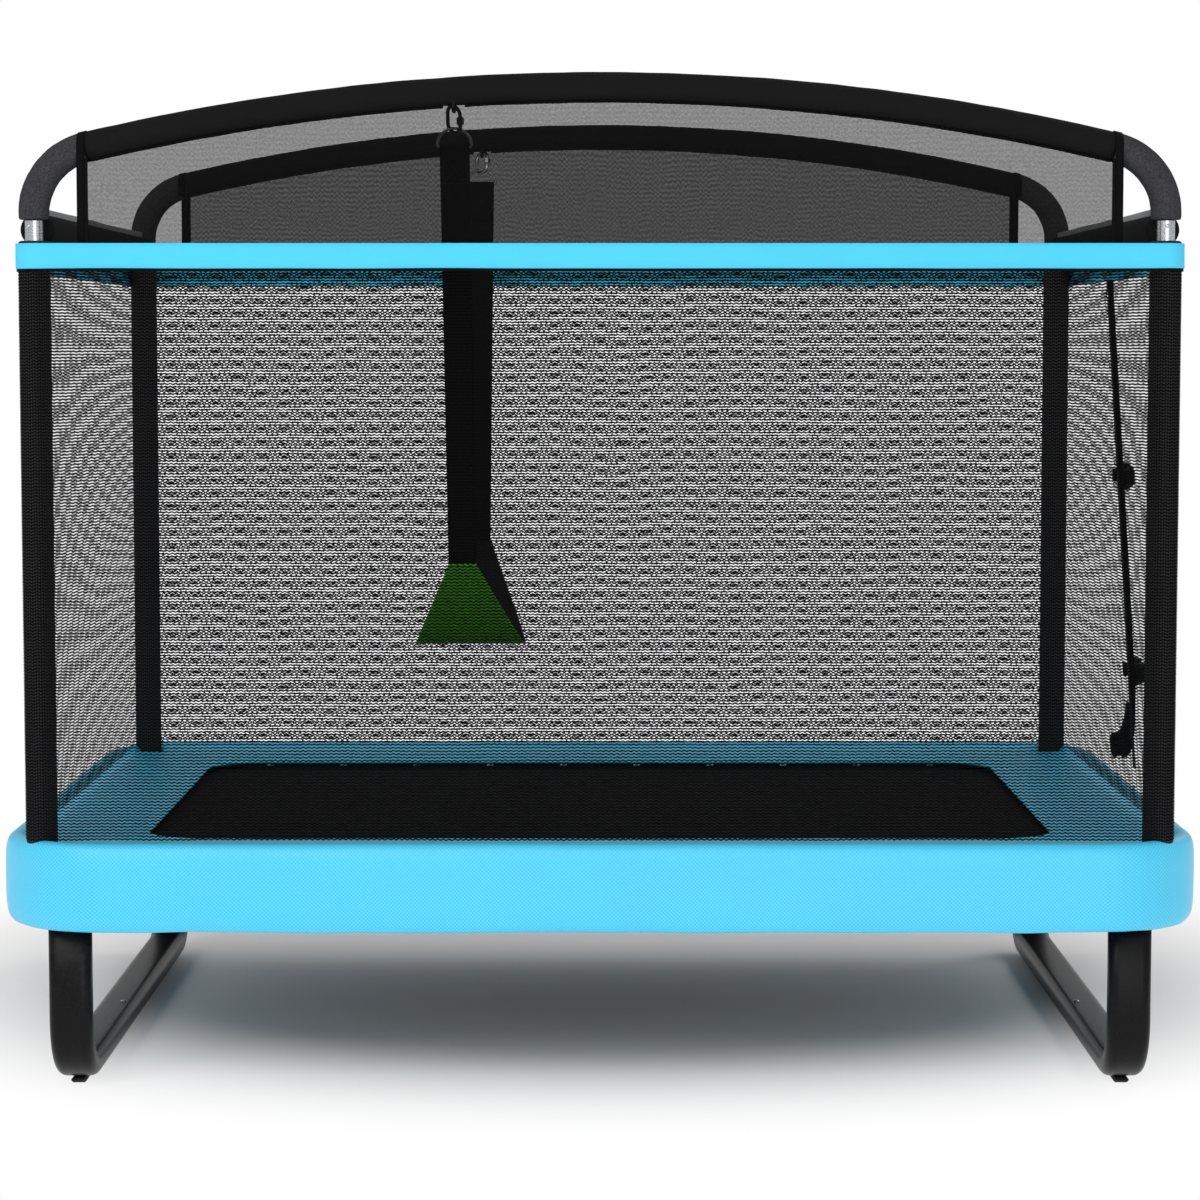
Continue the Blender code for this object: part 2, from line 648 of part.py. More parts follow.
def springs_and_hem():
    """The hem round the mat and the springs from it to the ring, sewn and hooked as one set."""
    hem_inner = rounded_rectangle(MAT_X + CLEARANCE, MAT_Y + CLEARANCE,
                                  MAT_CORNER_RADIUS + CLEARANCE, MAT_CORNER_STEPS)
    hem_outer = rounded_rectangle(MAT_X + HEM_WIDTH, MAT_Y + HEM_WIDTH,
                                  MAT_CORNER_RADIUS + HEM_WIDTH, MAT_CORNER_STEPS)
    hem = plate("mat_springs", [hem_outer, hem_inner], HEM_THICKNESS, BRIGHT_STEEL,
                Matrix.Translation((0, 0, MAT_HEIGHT)))
    outer_z = FRAME_HEIGHT + SPRING_RISE
    rods = []
    for sign in (-1, 1):
        for along, inner, outer in spring_ends(MAT_X, SPRING_COUNT_FRONT, MAT_Y,
                                               FRAME_HALF_WIDTH):
            rods.append(((along, sign * inner, MAT_HEIGHT), (along, sign * outer, outer_z)))
        for along, inner, outer in spring_ends(MAT_Y, SPRING_COUNT_LEFT, MAT_X,
                                               FRAME_HALF_LENGTH):
            rods.append(((sign * inner, along, MAT_HEIGHT), (sign * outer, along, outer_z)))
    guide = poly_curve(rods, False)
    guide.data.bevel_depth = SPRING_RADIUS
    guide.data.bevel_resolution = SPRING_SIDES // 2 - 2
    guide.data.use_fill_caps = True
    join(hem, add("spring_rods", mesh_of(guide)))
    return hem


springs_and_hem()

# ---- pad -------------------------------------------------------------------------------------

def pad_rings():
    """Closed section of the pad: outlines from the skirt's foot round the pad and back."""
    rings = []

    def from_outer(inset, height):
        rings.append((PAD_X - inset, PAD_Y - inset, PAD_CORNER_RADIUS - inset, height))

    def from_inner(offset, height):
        rings.append((PAD_INNER_X + offset, PAD_INNER_Y + offset,
                      PAD_INNER_CORNER_RADIUS + offset, height))

    thick = PAD_SKIRT_THICKNESS
    roll_top = PAD_SKIRT_BOTTOM + PAD_SKIRT_ROLL
    on_ring = FRAME_HEIGHT + FRAME_TUBE_RADIUS + CLEARANCE
    slope_start = PAD_X - FRAME_HALF_LENGTH + FRAME_TUBE_RADIUS + PAD_SEAT_MARGIN
    rim_foot, rim_outer, rim_inner, rim_back, flat_top = PAD_RIM_INSETS
    above_foot, below_top = PAD_SKIRT_UPRIGHT
    tuck_under, tuck_over = PAD_INNER_TUCK
    from_outer(PAD_SKIRT_TUCK, roll_top)
    from_outer(thick / 2, PAD_SKIRT_BOTTOM)
    from_outer(thick, roll_top)
    from_outer(thick, on_ring)
    from_outer(slope_start, on_ring)
    from_outer(slope_start + PAD_SLOPE_WIDTH, PAD_UNDERSIDE)
    from_inner(tuck_under, PAD_UNDERSIDE)
    from_inner(0.0, (PAD_UNDERSIDE + PAD_INNER_TOP) / 2)
    from_inner(tuck_over, PAD_INNER_TOP)
    from_inner(PAD_INNER_SLOPE, PAD_TOP)
    from_outer(flat_top, PAD_TOP)
    from_outer(rim_back, PAD_TOP)
    from_outer(rim_inner, PAD_RIM_TOP)
    from_outer(rim_outer, PAD_RIM_TOP)
    from_outer(rim_foot, PAD_TOP)
    from_outer(0.0, PAD_TOP - below_top)
    from_outer(0.0, PAD_SKIRT_BOTTOM + above_foot)
    return rings


def pad_body():
    """The rings skinned into one closed cushion."""
    work = bmesh.new()
    loops = []
    for half_x, half_y, radius, height in pad_rings():
        outline = rounded_rectangle(half_x, half_y, radius, PAD_CORNER_STEPS)
        loops.append([work.verts.new((x, y, height)) for x, y in outline])
    for loop, following in zip(loops, loops[1:] + loops[:1]):
        for index in range(len(loop)):
            work.faces.new((loop[index - 1], loop[index], following[index], following[index - 1]))
    bmesh.ops.recalc_face_normals(work, faces=work.faces)
    mesh = bpy.data.meshes.new("safety_pad")
    work.to_mesh(mesh)
    work.free()
    made = add("safety_pad", mesh, CYAN_VINYL)
    smooth(made, 50)
    return made


pad = pad_body()
for corner, (sx, sy) in CORNERS.items():
    x, y = sx * POST_X, sy * POST_Y
    slit = bar(f"pad_slit_{corner}", (x, y, SOCKET_BOTTOM - BORE_OVERRUN),
               (x, y, PAD_RIM_TOP + BORE_OVERRUN),
               POST_FOAM_RADIUS + CLEARANCE)
    cut(pad, slit)

# ---- arches ----------------------------------------------------------------------------------

crown_middle = ARCH_CREST - ARCH_RADIUS
bend_x = POST_X - ARCH_BEND_RADIUS
bend_reach = ARCH_RADIUS - ARCH_BEND_RADIUS
BEND_HEIGHT = crown_middle + math.sqrt(bend_reach ** 2 - bend_x ** 2)
CROWN_TILT = math.degrees(math.asin(bend_x / bend_reach))


def arch_height(x):
    """Centreline of the crown over a place along the arch."""
    return crown_middle + math.sqrt(ARCH_RADIUS ** 2 - x * x)


def led_arc(middle, radius, start, end, steps, leads):
    """An arc with a short straight lead along its tangent at each of the angles in leads."""
    sign = 1 if end > start else -1
    skip = math.degrees(2 * ARCH_END_LEAD / radius) * sign
    points = arc(middle, radius, start + skip * (start in leads), end - skip * (end in leads),
                 steps)
    for angle in leads:
        turn = math.radians(angle)
        tip = Vector(middle) + radius * Vector((math.cos(turn), math.sin(turn)))
        along = Vector((-math.sin(turn), math.cos(turn))) * (sign if angle == start else -sign)
        lead = [tuple(tip), tuple(tip + along * ARCH_END_LEAD)]
        points = lead + points if angle == start else points + lead[::-1]
    return points


def bend_points():
    """Right bend from the post upwards, as (x, z)."""
    top = 90 - CROWN_TILT
    return led_arc((bend_x, BEND_HEIGHT), ARCH_BEND_RADIUS, 0, top, ARCH_BEND_STEPS, [top])


def crown_points():
    """Crown from right to left, as (x, z)."""
    ends = [90 - CROWN_TILT, 90 + CROWN_TILT]
    return led_arc((0.0, crown_middle), ARCH_RADIUS, *ends, ARCH_CROWN_STEPS, ends)


def on_lead(distance):
    """A place on the straight lead at the right bend's upper end, as (x, z)."""
    start, tip = (Vector(point) for point in bend_points()[-2:])
    return start + (tip - start).normalized() * distance


def sleeve_points():
    """The sleeve's line from right to left, as (x, z): the crown and a straight lead beyond it."""
    right = on_lead(BEND_FOAM_LEAD + CLEARANCE)
    return [tuple(right)] + crown_points()[1:-1] + [(-right.x, right.y)]


def strap_points():
    """The line of the strap's loop over the right end of the sleeve, as (x, z)."""
    outer = BEND_FOAM_LEAD + CLEARANCE + STEP_LENGTH
    return [on_lead(outer), on_lead(outer + STRAP_WIDTH)]


STRAP_X = sum(x for x, z in strap_points()) / 2


def arch(end, sy):
    """Steel tube from post to post, swaged at its ends, with the swing's eye welded under it."""
    y = sy * POST_Y
    plug_radius = POST_RADIUS - POST_WALL - CLEARANCE
    shoulder = POST_TOP + CLEARANCE / 2
    foot = [(POST_X, POST_TOP - ARCH_PLUG_LENGTH), (POST_X, shoulder),
            (POST_X, shoulder + STEP_LENGTH)]
    right = foot + bend_points()
    left = [(-x, z) for x, z in reversed(right)]
    outline = right + crown_points()[1:-1] + left
    radii = [plug_radius] * 2 + [POST_RADIUS] * (len(outline) - 4) + [plug_radius] * 2
    made = tube(f"arch_{end}", [(x, y, z) for x, z in outline], POST_RADIUS, BLACK_STEEL,
                wall=ARCH_WALL, radii=radii)
    top = arch_height(SWING_X)
    bottom = top - EYE_DROP
    straight = EYE_HALF_WIDTH - EYE_CORNER_RADIUS
    corner_z = bottom + EYE_CORNER_RADIUS
    drop = [(-EYE_HALF_WIDTH, top - POST_RADIUS / 3)]
    drop += arc((-straight, corner_z), EYE_CORNER_RADIUS, 180, 270, 3)
    drop += arc((straight, corner_z), EYE_CORNER_RADIUS, 270, 360, 3)
    drop += [(EYE_HALF_WIDTH, top - POST_RADIUS / 3)]
    eye = tube(f"eye_{end}", [(SWING_X, y + across, z) for across, z in drop], EYE_WIRE_RADIUS,
               sides=WIRE_SIDES)
    join(made, eye)
    return made


def button_direction(corner, sy):
    """Unit vector from a post's axis out through its snap button."""
    turn = math.radians(BUTTON_TURN.get(corner, 0.0))
    return Vector((math.sin(turn), sy * math.cos(turn), 0.0))


arches = {end: arch(end, sy) for end, sy in ENDS.items()}

for end, sy in ENDS.items():
    y = sy * POST_Y
    wall = ARCH_FOAM_RADIUS - POST_RADIUS - CLEARANCE
    sleeve = tube(f"arch_sleeve_{end}", [(x, y, z) for x, z in sleeve_points()],
                  ARCH_FOAM_RADIUS, BLACK_FABRIC, wall=wall, turn=math.pi / 2)
    for side, sx in SIDES.items():
        strap = tube(f"arch_strap_{end}_{side}", [(sx * x, y, z) for x, z in strap_points()],
                     ARCH_FOAM_RADIUS + CLEARANCE + STRAP_THICKNESS,
                     wall=STRAP_THICKNESS + CLEARANCE + STRAP_SINK, turn=math.pi / 2)
        join(sleeve, strap)
    middle_z = arch_height(SWING_X)
    slot_half = EYE_HALF_WIDTH + EYE_WIRE_RADIUS + CLEARANCE
    slot = box(f"eye_slot_{end}",
               (SWING_X - EYE_SLOT_HALF_LENGTH, y - slot_half, middle_z - EYE_DROP),
               (SWING_X + EYE_SLOT_HALF_LENGTH, y + slot_half, middle_z))
    cut(sleeve, slot)
    for side, sx in SIDES.items():
        path = [(POST_X, POST_TOP + CLEARANCE)] + bend_points()[:-1]
        path += [on_lead(BEND_FOAM_LEAD - BEND_FOAM_END), on_lead(BEND_FOAM_LEAD)]
        tube(f"bend_foam_{end}_{side}", [(sx * x, y, z) for x, z in path], ARCH_FOAM_RADIUS,
             GREY_FOAM, wall=wall)

# ---- posts, their foam and the snap buttons --------------------------------------------------

for corner, (sx, sy) in CORNERS.items():
    end = corner.split("_")[0]
    x, y = sx * POST_X, sy * POST_Y
    post_bottom = SOCKET_BOTTOM + SOCKET_FLOOR + CLEARANCE
    post = tube(f"post_{corner}", [(x, y, post_bottom), (x, y, POST_TOP)], POST_RADIUS,
                BRIGHT_STEEL, wall=POST_WALL)
    outward = button_direction(corner, sy)
    axis = Vector((x, y, BUTTON_HEIGHT))
    hole = bar(f"button_hole_{corner}", axis + outward * BUTTON_INNER,
               axis + outward * (POST_RADIUS + BUTTON_HOLE_OVERRUN), BUTTON_RADIUS + CLEARANCE,
               sides=BUTTON_SIDES)
    cut(post, hole)
    cut(arches[end], hole)
    button = bar(f"snap_button_{corner}", axis + outward * BUTTON_INNER,
                 axis + outward * (POST_RADIUS + BUTTON_PROUD), BUTTON_RADIUS, BRIGHT_STEEL,
                 sides=BUTTON_SIDES)
    flange = bar(f"button_flange_{corner}", axis + outward * BUTTON_INNER,
                 axis + outward * (BUTTON_INNER + BUTTON_FLANGE_THICKNESS),
                 BUTTON_FLANGE_RADIUS, sides=BUTTON_SIDES)
    join(button, flange)
    put_origin(button, axis)
    put_origin(flange, axis)
    tube(f"post_foam_{corner}", [(x, y, SOCKET_TOP + CLEARANCE), (x, y, POST_FOAM_TOP)],
         POST_FOAM_RADIUS, GREY_FOAM, wall=POST_FOAM_RADIUS - POST_RADIUS - CLEARANCE)

# ---- side rails ------------------------------------------------------------------------------

for side, sx in SIDES.items():
    x = sx * POST_X
    rail = tube(f"side_rail_{side}", [(x, -POST_Y, SIDE_RAIL_HEIGHT), (x, POST_Y, SIDE_RAIL_HEIGHT)],
                SIDE_RAIL_RADIUS, BRIGHT_STEEL, wall=POST_WALL)
    for end, sy in ENDS.items():
        saddle = bar(f"rail_saddle_{end}_{side}",
                     (x, sy * POST_Y, SIDE_RAIL_HEIGHT - SIDE_RAIL_RADIUS - BORE_OVERRUN),
                     (x, sy * POST_Y, SIDE_RAIL_HEIGHT + SIDE_RAIL_RADIUS + BORE_OVERRUN),
                     POST_RADIUS + CLEARANCE)
        beyond = box(f"rail_end_{end}_{side}",
                     (x - BORE_OVERRUN - SIDE_RAIL_RADIUS, sy * POST_Y - BORE_OVERRUN,
                      SIDE_RAIL_HEIGHT - SIDE_RAIL_RADIUS - BORE_OVERRUN),
                     (x + BORE_OVERRUN + SIDE_RAIL_RADIUS, sy * POST_Y + BORE_OVERRUN,
                      SIDE_RAIL_HEIGHT + SIDE_RAIL_RADIUS + BORE_OVERRUN))
        cut(rail, saddle, beyond)
    reach = POST_Y - POST_FOAM_RADIUS - SIDE_RAIL_FOAM_GAP
    tube(f"side_rail_foam_{side}", [(x, -reach, SIDE_RAIL_HEIGHT), (x, reach, SIDE_RAIL_HEIGHT)],
         SIDE_RAIL_FOAM_RADIUS, GREY_FOAM,
         wall=SIDE_RAIL_FOAM_RADIUS - SIDE_RAIL_RADIUS - CLEARANCE)

# ---- net walls and top band ------------------------------------------------------------------

def wall_height(row):
    return NET_BOTTOM + (NET_TOP - NET_BOTTOM) * row


net_rows = [edge / (NET_TOP - NET_BOTTOM)
            for edge in lattice(NET_TOP - NET_BOTTOM, NET_BAR, NET_ROW_COUNT)]

for end, sy in ENDS.items():
    half = POST_X - CLEARANCE
    columns = [edge - half for edge in lattice(2 * half, NET_BAR, NET_COUNT_FRONT)]
    net(f"net_{end}", columns, net_rows,
        lambda x, row, y=sy * NET_Y: (x, y, wall_height(row)), NET_COUNT_FRONT)


def seam_y(z):
    """The door's seam at a height."""
    return SEAM_TOP.x - SEAM_SLOPE * (SEAM_TOP.y - z)


def side_wall(name, sx, starts_at_corner, ends_at_corner, count, front_edge, back_edge):
    """Part of a side wall, wrapped round the corner posts that it reaches.

    Columns from -1 to 0 are the front corner, 0 to 1 the flat part and 1 to 2 the back corner.
    """
    turns = [math.atan2(b, a) / (math.pi / 2) for a, b in post_corner((0, 0), 1, 0)]
    length = back_edge(NET_TOP) - front_edge(NET_TOP)
    columns = [edge / length for edge in lattice(length, NET_BAR, count)]
    first_gap = 1
    if starts_at_corner:
        columns = [-turn for turn in reversed(turns[1:])] + columns
        first_gap += len(turns) - 1
    if ends_at_corner:
        columns += [1 + turn for turn in turns[1:]]

    def place(column, row):
        z = wall_height(row)
        if 0 <= column <= 1:
            y = front_edge(z) + (back_edge(z) - front_edge(z)) * column
            return (sx * NET_X, y, z)
        sy = -1 if column < 0 else 1
        angle = math.pi / 2 * (-column if column < 0 else column - 1)
        return (sx * (POST_X + NET_OFFSET * math.cos(angle)),
                sy * (POST_Y + NET_OFFSET * math.sin(angle)), z)

    net(name, columns, net_rows, place, count, first_gap)


side_wall("net_left", -1, True, True, NET_COUNT_LEFT, lambda z: -POST_Y, lambda z: POST_Y)
side_wall("net_right_front", 1, True, False, DOOR_COUNT_FRONT,
          lambda z: -POST_Y, lambda z: seam_y(z) - SEAM_GAP / 2)
side_wall("net_right_back", 1, False, True, DOOR_COUNT_BACK,
          lambda z: seam_y(z) + SEAM_GAP / 2, lambda z: POST_Y)

band_outer = wall_outline(BAND_X + BAND_THICKNESS, BAND_Y + BAND_THICKNESS,
                          BAND_INNER_CORNER + BAND_THICKNESS)
band_inner = wall_outline(BAND_X, BAND_Y, BAND_INNER_CORNER)
plate("top_band", [band_outer, band_inner], BAND_TOP - BAND_BOTTOM, CYAN_BAND,
      Matrix.Translation((0, 0, (BAND_TOP + BAND_BOTTOM) / 2)))

# ---- nets under the arches -------------------------------------------------------------------

for end, sy in ENDS.items():
    half = STRAP_X + STRAP_WIDTH / 2
    inner = lattice(2 * (half - STRAP_WIDTH) + 2 * NET_BAR, NET_BAR, UPPER_NET_COLUMN_COUNT)
    columns = [-half] + [edge - half + STRAP_WIDTH - NET_BAR for edge in inner[1:-1]] + [half]
    bottom = NET_TOP + CLEARANCE
    middle_height = arch_height(0) - UPPER_NET_DROP - bottom
    rows = [edge / middle_height for edge in lattice(middle_height, NET_BAR, UPPER_NET_ROW_COUNT)]
    plane = sy * (POST_Y + ARCH_FOAM_RADIUS + CLEARANCE + STRAP_THICKNESS / 2)

    def upper_place(x, row, y=plane, low=bottom):
        return (x, y, low + (arch_height(x) - UPPER_NET_DROP - low) * row)

    net(f"upper_net_{end}", columns, rows, upper_place, UPPER_NET_COLUMN_COUNT)

# ---- door: zip, cover and buckles ------------------------------------------------------------

seam_direction = Vector((0.0, -SEAM_SLOPE, -1.0)).normalized()


def seam_outline(width, top, bottom):
    """A strip of a width centred on the seam, as (y, z)."""
    return [(seam_y(top) - width / 2, top), (seam_y(top) + width / 2, top),
            (seam_y(bottom) + width / 2, bottom), (seam_y(bottom) - width / 2, bottom)]


def on_right_wall(x):
    """Places a plate drawn in (y, z) in a plane of constant X."""
    return Matrix(((0, 0, 1, x), (1, 0, 0, 0), (0, 1, 0, 0), (0, 0, 0, 1)))


tape_x = NET_X - NET_THICKNESS / 2 - CLEARANCE - ZIP_TAPE_THICKNESS / 2
plate("zip_tape", [seam_outline(ZIP_TAPE_WIDTH, SEAM_TOP.y, ZIP_BOTTOM)], ZIP_TAPE_THICKNESS,
      BLACK_FABRIC, on_right_wall(tape_x))

slider_x = tape_x - ZIP_TAPE_THICKNESS / 2 - CLEARANCE - ZIP_SLIDER_THICKNESS / 2
slider_z = SEAM_TOP.y - 2 * ZIP_SLIDER_LENGTH
slider_middle = Vector((slider_x, seam_y(slider_z), slider_z))
seam_turn = Matrix.Translation(slider_middle) @ Matrix.Rotation(-math.atan(SEAM_SLOPE), 4, "X")
slider_half = Vector((ZIP_SLIDER_THICKNESS, ZIP_SLIDER_WIDTH, ZIP_SLIDER_LENGTH)) / 2
slider = box("zip_slider", -slider_half, slider_half, BRIGHT_STEEL, turn=seam_turn)
tab_outer = -ZIP_SLIDER_THICKNESS / 2 + ZIP_TAB_THICKNESS
tab = box("zip_pull", (tab_outer - ZIP_TAB_THICKNESS, -ZIP_TAB_WIDTH / 2, -ZIP_TAB_LENGTH),
          (tab_outer, ZIP_TAB_WIDTH / 2, 0.0), turn=seam_turn)
join(slider, tab)
put_origin(slider, slider_middle)
put_origin(tab, slider_middle)

cover_front = seam_y(COVER_STRAIGHT_BOTTOM) - COVER_WIDTH / 2
cover_outline = [(seam_y(SEAM_TOP.y) - COVER_WIDTH / 2, SEAM_TOP.y),
                 (cover_front, COVER_STRAIGHT_BOTTOM)]
cover_outline += [(cover_front + y, COVER_STRAIGHT_BOTTOM + z) for y, z in COVER_BOOT]
cover_outline += [(seam_y(SEAM_TOP.y) + COVER_WIDTH / 2, SEAM_TOP.y)]
cover_x = NET_FACE_X + CLEARANCE + COVER_THICKNESS / 2
plate("zip_cover", [cover_outline], COVER_THICKNESS, BLACK_FABRIC, on_right_wall(cover_x))

for place_name, height in BUCKLE_HEIGHTS.items():
    low_x = cover_x + COVER_THICKNESS / 2 + CLEARANCE
    high_x = low_x + BUCKLE_THICKNESS
    mouth = seam_y(height)
    half_female = FEMALE_HEIGHT / 2
    half_cavity = half_female - FEMALE_WALL_SIDE
    female = box(f"buckle_female_{place_name}", (low_x, mouth, height - half_female),
                 (high_x, mouth + FEMALE_LENGTH, height + half_female), BLACK_PLASTIC,
                 bevel=BUCKLE_BEVEL)
    cavity = box(f"buckle_cavity_{place_name}",
                 (low_x + FEMALE_WALL_FACE, mouth - BORE_OVERRUN, height - half_cavity),
                 (high_x - FEMALE_WALL_FACE, mouth + FEMALE_CAVITY_DEPTH, height + half_cavity))
    windows = box(f"buckle_windows_{place_name}",
                  (low_x + FEMALE_WALL_FACE, mouth + FEMALE_WINDOW_START,
                   height - half_female - BORE_OVERRUN),
                  (high_x - FEMALE_WALL_FACE,
                   mouth + FEMALE_WINDOW_START + FEMALE_WINDOW_LENGTH,
                   height + half_female + BORE_OVERRUN))
    cut(female, cavity, windows)

    half_male = MALE_HEIGHT / 2
    male = box(f"buckle_male_{place_name}", (low_x, mouth - MALE_LENGTH, height - half_male),
               (high_x, mouth - CLEARANCE, height + half_male), BLACK_PLASTIC,
               bevel=BUCKLE_BEVEL)
    slot_end = mouth - MALE_LENGTH + MALE_SLOT_MARGIN + MALE_SLOT_LENGTH
    slot = box(f"buckle_webbing_slot_{place_name}",
               (low_x - BORE_OVERRUN, mouth - MALE_LENGTH + MALE_SLOT_MARGIN,
                height - half_male + MALE_SLOT_MARGIN),
               (high_x + BORE_OVERRUN, slot_end, height + half_male - MALE_SLOT_MARGIN))
    prong_gap = FEMALE_WALL_FACE + CLEARANCE
    for sign in (-1, 0, 1):
        middle = height + sign * (half_male - MALE_PRONG_WIDTH / 2 - MALE_PRONG_INSET)
        prong = box(f"buckle_prong_{place_name}_{sign + 2}",
                    (low_x + prong_gap, mouth - MALE_PRONG_ROOT, middle - MALE_PRONG_WIDTH / 2),
                    (high_x - prong_gap, mouth + MALE_PRONG_LENGTH,
                     middle + MALE_PRONG_WIDTH / 2))
        join(male, prong)
    cut(male, slot)

# ---- swing -----------------------------------------------------------------------------------

eye_height = arch_height(SWING_X) - EYE_DROP
SWING_LEAN = math.atan2(POST_Y - SEAT_HALF_LENGTH, eye_height - SEAT_END_HEIGHT)
wires = LINK_WIRE_RADIUS + EYE_WIRE_RADIUS + CLEARANCE
HOOK = wires / math.cos(SWING_LEAN) + LINK_LOOSENESS
LINK_FOOT = LINK_LENGTH - HOOK      # wire centre at the foot of the link, down from the eye
RING_TOP = LINK_FOOT - LINK_WIRE_RADIUS - RING_WIRE_RADIUS - RING_LOOSENESS
RING_BAR = RING_TOP + RING_LENGTH
CHAIN_LENGTH = math.hypot(POST_Y - SEAT_HALF_LENGTH, eye_height - SEAT_END_HEIGHT)


def chain_frame(sy):
    """Matrix with its origin at the eye, X along the object's X and Y down the swing's strap."""
    down = Vector((0.0, -sy * math.sin(SWING_LEAN), -math.cos(SWING_LEAN)))
    across = Vector((1.0, 0.0, 0.0))
    facing = across.cross(down)
    frame = Matrix((across, down, facing)).transposed().to_4x4()
    frame.translation = (SWING_X, sy * POST_Y, eye_height)
    return frame


def link_outline():
    """Centreline of the quick link, as (across, down)."""
    top = LINK_HALF_WIDTH - HOOK
    foot = LINK_FOOT - LINK_HALF_WIDTH
    outline = arc((0.0, top), LINK_HALF_WIDTH, 180, 360, LINK_ARC_STEPS)
    outline += arc((0.0, foot), LINK_HALF_WIDTH, 0, 180, LINK_ARC_STEPS)
    return outline


def ring_outline():
    """Centreline of the D-ring, as (across, down)."""
    radius = RING_HALF_WIDTH - RING_WIRE_RADIUS
    outline = arc((0.0, RING_TOP + radius), radius, 180, 360, RING_ARC_STEPS)
    straight = radius - RING_CORNER_RADIUS
    outline += arc((straight, RING_BAR - RING_CORNER_RADIUS), RING_CORNER_RADIUS, 0, 90, 2)
    outline += arc((-straight, RING_BAR - RING_CORNER_RADIUS), RING_CORNER_RADIUS, 90, 180, 2)
    return outline


def seat_profile(share):
    """Height of the sling's centreline at a share of its half length."""
    rise = math.hypot(share, SEAT_ROUNDNESS) - SEAT_ROUNDNESS
    full = math.hypot(1.0, SEAT_ROUNDNESS) - SEAT_ROUNDNESS
    return SEAT_LOW_HEIGHT + (SEAT_END_HEIGHT - SEAT_LOW_HEIGHT) * rise / full


def swing_strap(end, sy, pivot):
    """Webbing sewn round the D-ring's bar, down to the end of the seat."""
    slope_step = 0.01
    fall = seat_profile(1.0) - seat_profile(1.0 - slope_step)
    seat_slope = math.atan2(fall, SEAT_HALF_LENGTH * slope_step)
    meeting = math.pi / 2 - SWING_LEAN - seat_slope
    gap = SEAT_THICKNESS / 2 + CLEARANCE + WEBBING_THICKNESS / 2 * math.cos(meeting)
    bottom = CHAIN_LENGTH - gap / math.sin(meeting)
    half = WEBBING_THICKNESS / 2
    hole_radius = RING_WIRE_RADIUS + CLEARANCE
    loop_radius = hole_radius + WEBBING_THICKNESS
    spread = math.degrees(math.asin(half / loop_radius))
    outline = arc((0.0, RING_BAR), loop_radius, 90 + spread, 450 - spread, 14)
    outline += [(half, bottom), (-half, bottom)]
    hole = arc((0.0, RING_BAR), hole_radius, 0, 330, 11)
    turned = chain_frame(sy) @ Matrix.Rotation(math.radians(90), 4, "Y")
    strap = plate(f"swing_strap_{end}", [outline, hole], WEBBING_WIDTH, BLACK_WEBBING, turned)
    put_origin(strap, pivot)


def swing_seat(pivot):
    """Soft sling between the straps, widest at its lowest line."""
    work = bmesh.new()
    bmesh.ops.create_grid(work, x_segments=SEAT_STEPS_ACROSS, y_segments=SEAT_STEPS_ALONG,
                          size=1.0)
    for vertex in work.verts:
        y = vertex.co.y * (SEAT_HALF_LENGTH + SEAT_LAP)
        share = abs(y) / SEAT_HALF_LENGTH
        width = SEAT_WIDTH + (WEBBING_WIDTH - SEAT_WIDTH) * min(share, 1.0)
        vertex.co = (SWING_X + vertex.co.x * width / 2, y, seat_profile(share))
    mesh = bpy.data.meshes.new("swing_seat")
    work.to_mesh(mesh)
    work.free()
    seat = add("swing_seat", mesh, GREEN_SEAT)
    sheet = seat.modifiers.new("thickness", "SOLIDIFY")
    sheet.thickness = SEAT_THICKNESS
    sheet.offset = 0
    smooth(seat)
    put_origin(seat, pivot)


eye_axis = Vector((SWING_X, 0.0, eye_height))
ring_axis = Vector((SWING_X, 0.0, eye_height - LINK_FOOT * math.cos(SWING_LEAN)))

for end, sy in ENDS.items():
    frame = chain_frame(sy)
    turned = frame @ Matrix.Rotation(LINK_TURN, 4, "Y")
    link = tube(f"quick_link_{end}", [turned @ Vector((a, b, 0.0)) for a, b in link_outline()],
                LINK_WIRE_RADIUS, BRIGHT_STEEL, cyclic=True, sides=WIRE_SIDES)
    nut_middle = (LINK_FOOT - HOOK) / 2
    nut = bar(f"link_nut_{end}",
              turned @ Vector((LINK_HALF_WIDTH, nut_middle - LINK_NUT_LENGTH / 2, 0.0)),
              turned @ Vector((LINK_HALF_WIDTH, nut_middle + LINK_NUT_LENGTH / 2, 0.0)),
              LINK_NUT_RADIUS, sides=WIRE_SIDES)
    join(link, nut)
    put_origin(link, eye_axis)
    put_origin(nut, eye_axis)
    d_ring = tube(f"d_ring_{end}", [frame @ Vector((a, b, 0.0)) for a, b in ring_outline()],
                  RING_WIRE_RADIUS, BLACK_STEEL, cyclic=True, sides=WIRE_SIDES)
    put_origin(d_ring, ring_axis)
    swing_strap(end, sy, ring_axis)

swing_seat(ring_axis)
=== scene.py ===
import math

import bpy
import numpy as np
from mathutils import Matrix, Vector, noise


